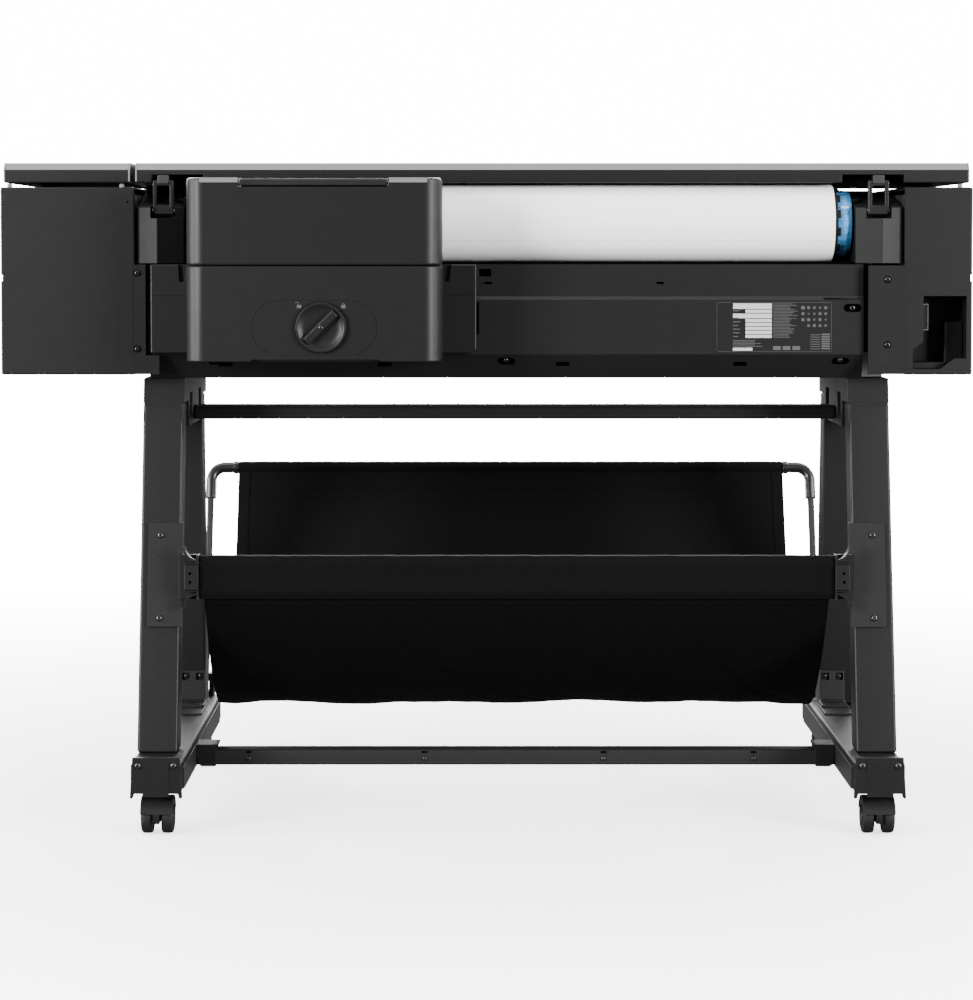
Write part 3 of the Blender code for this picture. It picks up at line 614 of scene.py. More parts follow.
def rounded_rectangle(low, high, radius, count=5):
    (left, bottom), (right, top) = low, high
    middles = ((right - radius, bottom + radius, -90), (right - radius, top - radius, 0),
               (left + radius, top - radius, 90), (left + radius, bottom + radius, 180))
    outline = []
    for across, up, start in middles:
        outline += arc_points((across, up), radius, start, start + 90, count)
    return outline


def frame_outline_solid(low, high, radius, width, near, far, axis):
    """A thin rounded rectangular frame, made as an outer outline less an inner one."""
    outer = outline_solid(rounded_rectangle(low, high, radius), near, far, axis)
    inner_low = (low[0] + width, low[1] + width)
    inner_high = (high[0] - width, high[1] - width)
    inner = outline_solid(rounded_rectangle(inner_low, inner_high, max(radius - width, 0.0002)),
                          near - 0.01, far + 0.01, axis)
    return carved(outer, [inner])


def carved(shape, cutters, edge=0.0, operation="DIFFERENCE"):
    """A shape less its cutters, with its sharp edges then rounded."""
    mesh = bpy.data.meshes.new("carved")
    shape.to_mesh(mesh)
    shape.free()
    piece = bpy.data.objects.new("carved", mesh)
    tools = []
    for cutter in cutters:
        tool_mesh = bpy.data.meshes.new("cutter")
        cutter.to_mesh(tool_mesh)
        cutter.free()
        tool = bpy.data.objects.new("cutter", tool_mesh)
        bpy.context.scene.collection.objects.link(tool)
        tools.append(tool)
        modifier = piece.modifiers.new("Cut", "BOOLEAN")
        modifier.operation = operation
        modifier.object = tool
        modifier.solver = "EXACT"
    if edge:
        modifier = piece.modifiers.new("Edges", "BEVEL")
        modifier.width = edge
        modifier.segments = 2
        modifier.limit_method = "ANGLE"
        modifier.angle_limit = math.radians(SHARP_ANGLE)
        modifier.harden_normals = False
    bm = evaluated(piece)
    for tool in tools:
        bpy.data.objects.remove(tool, do_unlink=True)
    return bm


def cad_shape(node):
    """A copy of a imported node's solid, welded back into one surface."""
    bm = bmesh.new()
    bm.from_mesh(frame["nodes"][node].data)
    bmesh.ops.remove_doubles(bm, verts=bm.verts, dist=CAD_WELD)
    bmesh.ops.dissolve_limit(bm, angle_limit=0.0005, verts=bm.verts, edges=bm.edges)
    return bm


def put(name, shapes, slot, body=PRINTER, replaces=(), smooth=SHARP_ANGLE, finish=None):
    """Makes one visible piece: mesh and body, with the slot's finish unless another is given."""
    whole = merged(shapes) if isinstance(shapes, (list, tuple)) else shapes
    mesh = bpy.data.meshes.new(name)
    whole.to_mesh(mesh)
    whole.free()
    mesh.shade_smooth()
    mesh.set_sharp_from_angle(angle=math.radians(smooth))
    mesh.materials.append(finish or SLOT_FINISH[slot])
    piece = bpy.data.objects.new(name, mesh)
    bpy.context.scene.collection.objects.link(piece)
    if smooth < CLOTH_SMOOTH:
        piece.modifiers.new("Flat faces", "WEIGHTED_NORMAL").keep_sharp = True
    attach(piece, body)
    if replaces:
        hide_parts(*replaces)
    return piece


def dress(name, node, edge, cutters=(), body=PRINTER, finish=None):
    """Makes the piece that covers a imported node: its solid, carved, with its edges rounded."""
    return put(name, carved(cad_shape(node), cutters, edge), SLOT_OF[node], body, (node,), finish=finish)


def button_head(centre, direction, radius, height=0.0022, socket=0.50):
    """A domed screw head with a six-sided socket."""
    floor = height * 0.15
    profile = [(0, floor)]
    profile += [(radius * socket, floor), (radius * socket, height)]
    profile += [(radius * (socket + (1 - socket) * step / 5),
                 height * math.cos(math.pi / 2 * (step / 5) ** 1.6)) for step in range(1, 6)]
    profile += [(radius, -0.0004), (0, -0.0004)]
    return turned(profile, centre, direction, 18)


def printed_patch(low, high, y, lift=0.00015):
    """A thin printed block on a face that looks towards -Y."""
    return rounded_box((low[0], y - lift, low[1]), (high[0], y, high[1]), 0.0)


class PlotterOperator:
    """What the piece operators share: the user's values and the usual options."""

    bl_options = {"REGISTER", "UNDO"}

    @property
    def sizes(self):
        return bpy.context.scene.plotter_sizes

    def done(self):
        return {"FINISHED"}


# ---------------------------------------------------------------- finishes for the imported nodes
class PLOTTER_OT_finishes(PlotterOperator, bpy.types.Operator):
    """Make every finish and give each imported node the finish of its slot"""

    bl_idname = "plotter.finishes"
    bl_label = "Finishes"

    def execute(self, context):
        make_finishes(context.scene.plotter_colours)
        for part in RECORD["subparts"]:
            node = frame["nodes"][part["node"]]
            node.data.materials.clear()
            node.data.materials.append(SLOT_FINISH[part["material_slot"]])
            node.data.shade_smooth()
            node.data.set_sharp_from_angle(angle=math.radians(SHARP_ANGLE))
        return self.done()


# ---------------------------------------------------------------- roll and bay
class PLOTTER_OT_roll(PlotterOperator, bpy.types.Operator):
    """Build the wound paper roll, its card core and both blue hubs"""

    bl_idname = "plotter.roll"
    bl_label = "Paper roll and hubs"

    def execute(self, context):
        low, high = corners("paper_roll")
        middle = (low.x + high.x) / 2
        centre, half = (middle, *ROLL_CENTRE), (high.x - low.x) / 2
        radius = (high.z - low.z) / 2
        core, card_wall = 0.0385, 0.0025
        soft = 0.0006
        wrap = [(radius - soft, -half), (radius, -half + soft), (radius, half - soft),
                (radius - soft, half)]
        put("roll_wrap", turned(wrap, centre, (1, 0, 0), 128), "roll_paper", "spindle", ("paper_roll",))
        ends = []
        for side in (-1, 1):
            face = [(core + card_wall, side * half), (radius - soft, side * half)]
            ends.append(turned(face, centre, (1, 0, 0), 128))
        put("roll_end_faces", ends, "roll_paper", "spindle", finish=EXTRA_FINISH["roll_end"])
        put("card_core", ring(core + card_wall, core, -half - 0.0003, half + 0.0003, centre, (1, 0, 0), 96),
            "roll_paper", "spindle", finish=EXTRA_FINISH["card"])
        # the last turn's free edge, laid along the roll
        lap = [(-0.0012, 0.0), (0.0, 0.00035), (0.012, 0.00012)]
        strips = []
        for start, end in zip(lap, lap[1:]):
            angle = math.radians(205)
            points = []
            for along in (-half, half):
                for across, lift in (start, end):
                    turn = angle + across / radius
                    reach = radius + lift
                    points.append((middle + along, ROLL_CENTRE[0] + reach * math.cos(turn),
                                   ROLL_CENTRE[1] + reach * math.sin(turn)))
            strip = bmesh.new()
            verts = [strip.verts.new(point) for point in points]
            strip.faces.new((verts[0], verts[1], verts[3], verts[2]))
            strips.append(strip)
        put("roll_free_edge", strips, "roll_paper", "spindle")
        for name in ("left", "right"):
            self.hub(name, middle, half)
        return self.done()

    def hub(self, name, middle, half):
        """A blue drum with grip ribs, a black flange against the paper and a plug in the core."""
        low, high = corners(f"{name}_hub")
        side = -1 if name == "left" else 1
        direction = (side, 0, 0)
        centre = (middle, *ROLL_CENTRE)
        drum, bore, flange = 0.0476, 0.0105, half + 0.0042
        end = (high.x - middle) if side > 0 else (middle - low.x)
        mid = (flange + end) / 2
        profile = [(bore, end - 0.004), (0.020, end - 0.004), (0.022, end - 0.0005), (0.040, end - 0.0005),
                   (0.0445, end - 0.002), (drum - 0.0012, mid + 0.004), (drum, mid),
                   (drum - 0.0004, mid - 0.004),
                   (drum - 0.0016, flange), (0.0375, flange), (0.0375, half - 0.030),
                   (0.034, half - 0.034), (bore, half - 0.034), (bore, end - 0.004)]
        shapes = [turned(profile, centre, direction, 72)]
        ribs = 30
        for index in range(ribs):
            turn = Matrix.Rotation(2 * math.pi * index / ribs, 4, "X")
            reach = sorted((side * (flange + 0.001), side * (mid + 0.003)))
            rib = rounded_box((reach[0], -0.0011, drum - 0.0022), (reach[1], 0.0011, drum + 0.0004), 0.0004)
            shapes.append(moved(rib, Matrix.Translation(centre) @ turn))
        put(f"{name}_hub_drum", shapes, "blue_plastic", "spindle", (f"{name}_hub",))
        rim = ring(0.0538, 0.0462, half + 0.0006, flange, centre, direction, 72)
        teeth = []
        for index in range(12):
            turn = Matrix.Rotation(2 * math.pi * (index + 0.5) / 12, 4, "X")
            reach = sorted((side * (flange - 0.0005), side * (flange + 0.0045)))
            tooth = rounded_box((reach[0], -0.006, 0.0482), (reach[1], 0.006, 0.0515), 0.0006)
            teeth.append(moved(tooth, Matrix.Translation(centre) @ turn))
        put(f"{name}_hub_flange", [rim, *teeth], "blue_plastic", "spindle",
            finish=SLOT_FINISH["black_plastic"])
        marks = []
        for index in range(3):
            turn = Matrix.Rotation(math.radians(62 + 120 * index), 4, "X")
            reach = sorted((side * (mid - 0.007), side * (mid + 0.005)))
            mark = rounded_box((reach[0], -0.0016, drum - 0.0006), (reach[1], 0.0016, drum + 0.0006), 0.0003)
            marks.append(moved(mark, Matrix.Translation(centre) @ turn))
        put(f"{name}_hub_marks", marks, "blue_plastic", "spindle", finish=EXTRA_FINISH["ink"])


class PLOTTER_OT_bay(PlotterOperator, bpy.types.Operator):
    """Build the spindle supports, their levers and the dark sheets of painted shade in the roll bay"""

    bl_idname = "plotter.bay"
    bl_label = "Roll bay"

    def execute(self, context):
        for name in ("left", "right"):
            # the supports in a darker copy of the charcoal: painted shade
            dress(f"{name}_support_shell", f"{name}_spindle_support", 0.0009,
                  finish=EXTRA_FINISH["support"])
            self.lever(name)
            self.bearing(name)
        self.shade_sheets()
        return self.done()

    def lever(self, name):
        """A lever plate with a top tab in a lighter grey, painted highlight, and a pivot pin."""
        low, high = corners(f"{name}_lever")
        middle = (low.x + high.x) / 2
        node = f"{name}_lever"
        dress(f"{name}_lever_plate", node, 0.0007, body=f"{node}_body")
        tab = rounded_box((middle - 0.0078, low.y - 0.0016, high.z - 0.0115),
                          (middle + 0.0078, high.y + 0.0004, high.z + 0.0006), 0.0011, 3)
        put(f"{name}_lever_highlight_tab", tab, "charcoal_plastic", f"{node}_body", finish=EXTRA_FINISH["rim"])
        pin_z = low.z + 0.0055
        pin = turned([(0, -0.0162), (0.0021, -0.0162), (0.0025, -0.0156), (0.0025, 0.0156),
                      (0.0021, 0.0162), (0, 0.0162)], (middle, (low.y + high.y) / 2, pin_z), (1, 0, 0), 20)
        put(f"{name}_lever_pin", pin, "zinc_steel", f"{node}_body")

    def bearing(self, name):
        """The spindle end's bearing shell in its support."""
        low, high = corners(f"{name}_spindle_support")
        inner = high.x if name == "left" else low.x
        side = -1 if name == "left" else 1
        start, end = sorted((inner + side * 0.0150, inner + side * 0.0005))
        half_ring = []
        for radius in (0.0102, 0.0111):
            half_ring.append(arc_points(ROLL_CENTRE, radius, 180, 360, 16))
        outline = half_ring[0] + half_ring[1][::-1]
        put(f"{name}_bearing_shell", outline_solid(outline, start, end, "X"), "zinc_steel")

    def shade_sheets(self):
        """Dark sheets of painted shade that close the bay behind its ends, each side of the roll."""
        beam_high = corners("rear_beam_panel")[1]
        lid_low = corners("top_lid")[0]
        guide_low = corners("paper_guide")[0]
        shapes = []
        for name, side in (("left", -1), ("right", 1)):
            low, high = corners(f"{name}_spindle_support")
            outer = low.x if side < 0 else high.x
            x = sorted((outer - side * 0.0665, outer - side * 0.001))
            shapes.append(rounded_box((x[0], high.y + 0.0006, beam_high.z + 0.002),
                                      (x[1], guide_low.y - 0.0004, lid_low.z - 0.020), 0.0003))
        shapes.append(rounded_box((-0.5040, -0.0830, beam_high.z + 0.002),
                                  (-0.4190, -0.0805, lid_low.z - 0.0012), 0.0003))
        put("bay_end_shade_sheets", shapes, "black_plastic", finish=EXTRA_FINISH["void"])


# ---------------------------------------------------------------- covers
class PLOTTER_OT_beam(PlotterOperator, bpy.types.Operator):
    """Build the rear beam panel with its slots, recesses and ledge"""

    bl_idname = "plotter.beam"
    bl_label = "Rear beam panel"

    def execute(self, context):
        low, high = corners("rear_beam_panel")
        rear = low.y
        slope = Vector((0.023, -0.035)).normalized()
        cutters, rims, pans, screws = [], [], [], []
        for x in (0.0021, 0.2512):
            cutters.append(outline_solid(stadium((x, 0.7722), 0.0115, 0.0034), rear - 0.01, rear + 0.02, "Y"))
            rims.append(self.slot_rim(x, 0.7722, rear + 0.005))
        cutters.append(rounded_box((-0.0110, rear - 0.01, 0.7815), (0.0064, rear + 0.02, 0.7925), 0.0))
        cutters.append(rounded_box((0.487, rear - 0.01, 0.7483), (0.546, rear + 0.0032, 0.7512), 0.0))
        for x, z in ((0.0282, 0.6582), (0.5125, 0.6582), (-0.3900, 0.6582)):
            self.tilted_recess(x, z, slope, 0.0262, 0.0140, cutters, pans, screws)
        recess = stadium((0.5290, 0.7361), 0.0262, 0.0118)
        cutters.append(outline_solid(recess, rear - 0.01, rear + 0.004, "Y"))
        screws.append(button_head((0.5290, rear + 0.0042, 0.7361), (0, -1, 0), self.sizes.screw * 0.9))
        pans.append(outline_solid(stadium((0.5290, 0.7361), 0.0275, 0.0130), rear + 0.0031, rear + 0.0050,
                                  "Y"))
        for x in (0.1101, 0.3675, -0.3778, -0.1473):
            self.tilted_slot(x, 0.6540, slope, cutters, pans)
        dress("rear_beam_shell", "rear_beam_panel", 0.0007, cutters=cutters)
        put("beam_slot_rims", rims, "charcoal_plastic")
        # near-black pans behind the recesses and slots: painted shade
        put("beam_recess_shade_pans", pans, "black_plastic", finish=EXTRA_FINISH["void"])
        put("beam_screws", screws, "zinc_steel", finish=EXTRA_FINISH["screw"])
        # a near-black sheet behind the beam: painted shade where its gaps would show the backdrop
        backing = rounded_box((low.x - 0.0040, rear + 0.013, 0.672),
                              (high.x + 0.0080, rear + 0.016, high.z + 0.0040))
        put("beam_shade_backing", backing, "black_plastic", finish=EXTRA_FINISH["void"])
        return self.done()

    @staticmethod
    def slot_rim(x, z, y):
        outer = outline_solid(stadium((x, z), 0.0208, 0.0060), y - 0.0005, y + 0.0001, "Y")
        inner = outline_solid(stadium((x, z), 0.0115, 0.0034), y - 0.01, y + 0.01, "Y")
        return carved(outer, [inner], 0.00015)

    @staticmethod
    def onto_slope(x, z, slope):
        """The matrix from an upright face at y = 0 to the beam's sloping underside."""
        top_y, top_z = -0.201, 0.669
        run = (top_z - z) / -slope.y
        y = top_y + slope.x * run
        tilt = math.atan2(slope.x, -slope.y)
        return Matrix.Translation((x, y, z)) @ Matrix.Rotation(tilt, 4, "X")

    def tilted_recess(self, x, z, slope, width, height, cutters, pans, screws):
        matrix = self.onto_slope(x, z, slope)
        hole = outline_solid(stadium((0, 0), width, height), -0.012, 0.0085, "Y")
        cutters.append(moved(hole, matrix))
        # a near-black pan in the recess: painted shade
        pan = outline_solid(stadium((0, 0), width + 0.001, height + 0.001), 0.0040, 0.0055, "Y")
        pans.append(moved(pan, matrix))
        head = button_head((0, 0.0042, 0), (0, -1, 0), self.sizes.screw * 0.9)
        screws.append(moved(head, matrix))

    def tilted_slot(self, x, z, slope, cutters, pans):
        matrix = self.onto_slope(x, z, slope)
        low, high = (-0.0098, -0.0047), (0.0098, 0.0047)
        # a near-black pan behind the slot: painted shade
        pans.append(moved(rounded_box((-0.0106, 0.0045, -0.0055), (0.0106, 0.0060, 0.0055), 0.0), matrix))
        hole = outline_solid(rounded_rectangle(low, high, 0.0012), -0.012, 0.0085, "Y")
        cutters.append(moved(hole, matrix))


class PLOTTER_OT_label(PlotterOperator, bpy.types.Operator):
    """Lay the rating label: a rounded film with blank fields, plain bars and blocks"""

    bl_idname = "plotter.label"
    bl_label = "Rating label"

    def execute(self, context):
        face = corners("rear_beam_panel")[0].y - 0.00005
        left, right, bottom, top = 0.3320, 0.4990, 0.6725, 0.7450
        film = outline_solid(rounded_rectangle((left, bottom), (right, top), 0.003), face - 0.0003, face, "Y")
        put("label_film", film, "charcoal_plastic", finish=EXTRA_FINISH["label"])
        ink_y = face - 0.0003
        border = frame_outline_solid((left + 0.0006, bottom + 0.0006), (right - 0.0006, top - 0.0006),
                                     0.0026, 0.0004, ink_y - 0.00012, ink_y, "Y")
        put("label_border", border, "charcoal_plastic", finish=EXTRA_FINISH["grey_ink"])
        fields = []
        column, field_right = left + 0.0240, left + 0.0800
        heights = (0.0080, 0.0046, 0.0066, 0.0046, 0.0046, 0.0046, 0.0046, 0.0046)
        level = top - 0.0022
        for index, height in enumerate(heights):
            start = column if index in (0, 2) else column + 0.018
            fields.append(printed_patch((start, level - height), (field_right, level), ink_y))
            level -= height + 0.0011
        fields.append(printed_patch((column, bottom + 0.0020), (column + 0.028, bottom + 0.0062), ink_y))
        put("label_fields", fields, "charcoal_plastic", finish=EXTRA_FINISH["ink"])
        self.lines(column, field_right, right, bottom, top, ink_y)
        return self.done()

    @staticmethod
    def lines(column, field_right, right, bottom, top, ink_y):
        """Rows of plain bars in place of print, and blank blocks in place of symbols."""
        draw = random.Random(7)
        bars = []
        for row in range(8):
            level = top - 0.0135 - row * 0.0053
            if row != 1:
                width = draw.uniform(0.007, 0.013)
                bars.append(printed_patch((column, level), (column + width, level + 0.0012), ink_y))
        for row in range(5):
            level = bottom + 0.0078 + row * 0.0021
            width = draw.uniform(0.030, 0.054)
            bars.append(printed_patch((column, level), (column + width, level + 0.0009), ink_y))
        for row in range(24):
            level = top - 0.0034 - row * 0.0021
            width = draw.uniform(0.022, 0.036)
            start = field_right + 0.002
            bars.append(printed_patch((start, level), (start + width, level + 0.0008), ink_y))
        blocks = []
        for row in range(4):
            for place in range(5):
                x = right - 0.0420 + place * 0.0082
                z = top - 0.0085 - row * 0.0086
                size = draw.choice((0.0040, 0.0050, 0.0058))
                sides = draw.choice((3, 4, 4, 6, 12))
                outline = arc_points((x, z), size * 0.5, 45, 405, sides)[:-1]
                if draw.random() < 0.85:
                    blocks.append(outline_solid(outline, ink_y - 0.00012, ink_y, "Y"))
        for row in range(7):
            level = bottom + 0.0040 + row * 0.0034
            start = right - 0.0310
            bars.append(printed_patch((start, level), (start + 0.0140, level + 0.0010), ink_y))
            bars.append(printed_patch((start + 0.0160, level), (start + 0.0280, level + 0.0022), ink_y))
        for place in range(3):
            start = field_right + 0.002 + place * 0.0140
            blocks.append(printed_patch((start, bottom + 0.0030), (start + 0.0110, bottom + 0.0085), ink_y))
        put("label_bars", bars, "charcoal_plastic", finish=EXTRA_FINISH["grey_ink"])
        put("label_blocks", blocks, "charcoal_plastic", finish=EXTRA_FINISH["grey_ink"])


class PLOTTER_OT_cabinets(PlotterOperator, bpy.types.Operator):
    """Build both end cabinets with their screws, seams, vents and the power inlet"""

    bl_idname = "plotter.cabinets"
    bl_label = "Cabinets"

    def execute(self, context):
        left_low, left_high = corners("left_cabinet")
        right_low, right_high = corners("right_cabinet")
        rear = left_low.y
        places = ((-0.5032, 0.7864), (-0.5032, 0.6772), (0.5776, 0.7772), (0.5776, 0.6831))
        dishes, screws = [], []
        for x, z in places:
            dish = turned([(0, -0.0015), (0.0050, -0.0015), (0.0066, 0.001), (0, 0.001)],
                          (x, rear, z), (0, -1, 0), 24)
            dishes.append(dish)
            screws.append(button_head((x, rear + 0.0013, z), (0, -1, 0), self.sizes.screw, 0.0030))
        vents = self.vents(left_low, right_high)
        hole = turned([(0, -0.02), (0.0016, -0.02), (0.0016, 0.01), (0, 0.01)], (-0.5168, rear, 0.8892),
                      (0, -1, 0), 16)
        left_cuts = dishes[:2] + [hole] + vents[0] + self.seams(left_low, left_high, -1)
        right_cuts = dishes[2:] + vents[1] + self.seams(right_low, right_high, 1)
        for node, cutters in (("left_cabinet", left_cuts), ("right_cabinet", right_cuts)):
            dress(f"{node}_shell", node, 0.0005, cutters=cutters)
        put("cabinet_screws", screws, "zinc_steel", finish=EXTRA_FINISH["zinc_screw"])
        self.inlet()
        self.lid_posts(left_high.z)
        return self.done()

    @staticmethod
    def vents(left_low, right_high):
        """Rows of air slots low on each cabinet's outer wall."""
        rows = ([], [])
        for index in range(14):
            y = -0.100 + index * 0.012
            for row, x in zip(rows, (left_low.x, right_high.x)):
                row.append(rounded_box((x - 0.01, y, 0.676), (x + 0.01, y + 0.0055, 0.716), 0.0))
        return rows

    @staticmethod
    def seams(low, high, side):
        """A shallow level parting groove along a cabinet's outer wall."""
        outer = low.x if side < 0 else high.x
        depth = 0.0012
        x = sorted((outer - side * depth, outer + side * 0.01))
        level = rounded_box((x[0], low.y + 0.020, 0.7790), (x[1], high.y + 0.01, 0.7802), 0.0)
        return [level]

    def inlet(self):
        """Pins and a light rim on the inlet, its light grey a painted highlight, and a step and a shelf in
        its pocket.
        """
        low, high = corners("power_inlet")
        middle = (low.y + high.y) / 2
        z = (low.z + high.z) / 2
        pins = [rounded_box((low.x + 0.008, middle + dy - 0.0010, z + dz - 0.0025),
                            (high.x - 0.004, middle + dy + 0.0010, z + dz + 0.0025), 0.0003)
                for dy, dz in ((-0.007, -0.003), (0.0, 0.003), (0.007, -0.003))]
        put("inlet_pins", pins, "zinc_steel", finish=EXTRA_FINISH["brass"])
        rim = frame_outline_solid((low.x + 0.0165, low.z - 0.0010), (high.x + 0.0008, high.z + 0.0010),
                                  0.0010, 0.0010, low.y - 0.0010, low.y - 0.0002, "Y")
        put("inlet_highlight_rim", rim, "black_plastic", finish=EXTRA_FINISH["cover_edge"])
        pocket_low, pocket_high = corners("inlet_pocket")
        step = rounded_box((pocket_high.x - 0.030, pocket_high.y - 0.030, pocket_low.z + 0.0025),
                           (pocket_high.x - 0.0025, pocket_high.y - 0.0025, pocket_high.z - 0.040), 0.002, 3)
        shelf = rounded_box((pocket_low.x + 0.0025, pocket_low.y + 0.012, pocket_low.z + 0.0022),
                            (pocket_high.x - 0.031, pocket_high.y - 0.004, pocket_low.z + 0.012), 0.0015, 3)
        put("inlet_pocket_steps", [step, shelf], "black_plastic")

    @staticmethod
    def lid_posts(top):
        """Posts on which the closed lids rest."""
        lid_low = corners("ink_lid")[0]
        posts = []
        for x in (-0.6930, -0.5300, 0.6880):
            for y in (-0.1700, 0.1300):
                profile = [(0, 0.0), (0.0040, 0.0), (0.0036, lid_low.z - top - 0.0016),
                           (0.0028, lid_low.z - top - 0.0006), (0, lid_low.z - top - 0.0004)]
                posts.append(turned(profile, (x, y, top - 0.0002), (0, 0, 1), 20))
        put("lid_rest_posts", posts, "grey_plastic", finish=EXTRA_FINISH["trim"])


class PLOTTER_OT_lids(PlotterOperator, bpy.types.Operator):
    """Build both lids with light end rims and a light strip along their rear chamfer, both painted highlight
    """

    bl_idname = "plotter.lids"
    bl_label = "Lids"

    def execute(self, context):
        for node in ("top_lid", "ink_lid"):
            low, high = corners(node)
            body = f"{node}_body"
            dress(f"{node}_shell", node, 0.0009, body=body)
            self.painted_chamfer_highlight(node, low, high, body)
            self.end_highlight_rims(node, low, high, body)
            self.underside(node, low, high, body)
        return self.done()

    @staticmethod
    def profile(low, high, lift):
        """The lid's rear and top outline (y, z), lifted off the surface."""
        chamfer = 0.010
        return [(low.y - lift, low.z + 0.002), (low.y - lift, high.z - chamfer),
                (low.y + 0.008, high.z + lift), (high.y - 0.010, high.z + lift),
                (high.y + lift, high.z - chamfer), (high.y + lift, low.z + 0.002)]

    def painted_chamfer_highlight(self, node, low, high, body):
        """A satin strip inlaid in the chamfer along the rear edge, light grey: painted highlight where the
        chamfer catches the light from above.
        """
        path = [(low.y - 0.0002, high.z - 0.0101), (low.y + 0.0079, high.z + 0.0002)]
        inner = [(low.y + 0.0016, high.z - 0.0101), (low.y + 0.0090, high.z - 0.0012)]
        outline = path + inner[::-1]
        strip = outline_solid(outline, low.x + 0.0022, high.x - 0.0022, "X", 0.0003)
        put(f"{node}_chamfer_highlight_strip", strip, "grey_plastic", body, finish=EXTRA_FINISH["trim"])

    def end_highlight_rims(self, node, low, high, body):
        """Thin light rims that outline the lid's two ends: painted highlight on their lit edges."""
        outer = self.profile(low, high, 0.0004)
        inner = self.profile(low + Vector((0, 0.0040, -0.001)), high - Vector((0, 0.0040, 0.0040)), 0.0)
        rims = []
        for x in (low.x, high.x):
            side = 1 if x == low.x else -1
            start, end = sorted((x - side * 0.0002, x + side * 0.0020))
            band = outline_solid(outer, start, end, "X")
            hole = outline_solid(inner, start - 0.01, end + 0.01, "X")
            rims.append(carved(band, [hole], 0.0003))
        put(f"{node}_painted_end_highlights", rims, "grey_plastic", body, finish=EXTRA_FINISH["trim"])

    @staticmethod
    def underside(node, low, high, body):
        """Stiffening ribs and a foam seal under the lid."""
        ribs = []
        count = max(2, int((high.x - low.x) / 0.12))
        top = high.z - 0.0085
        for index in range(1, count):
            x = low.x + (high.x - low.x) * index / count
            ribs.append(rounded_box((x - 0.0012, low.y + 0.012, top - 0.010),
                                    (x + 0.0012, high.y - 0.012, top), 0.0003))
        put(f"{node}_ribs", ribs, "black_plastic", body)
        seal = rounded_box((low.x + 0.012, high.y - 0.0085, low.z - 0.0012),
                           (high.x - 0.012, high.y - 0.0015, low.z + 0.0006), 0.0004)
        put(f"{node}_seal", seal, "wheel_rubber", body, finish=EXTRA_FINISH["foam"])


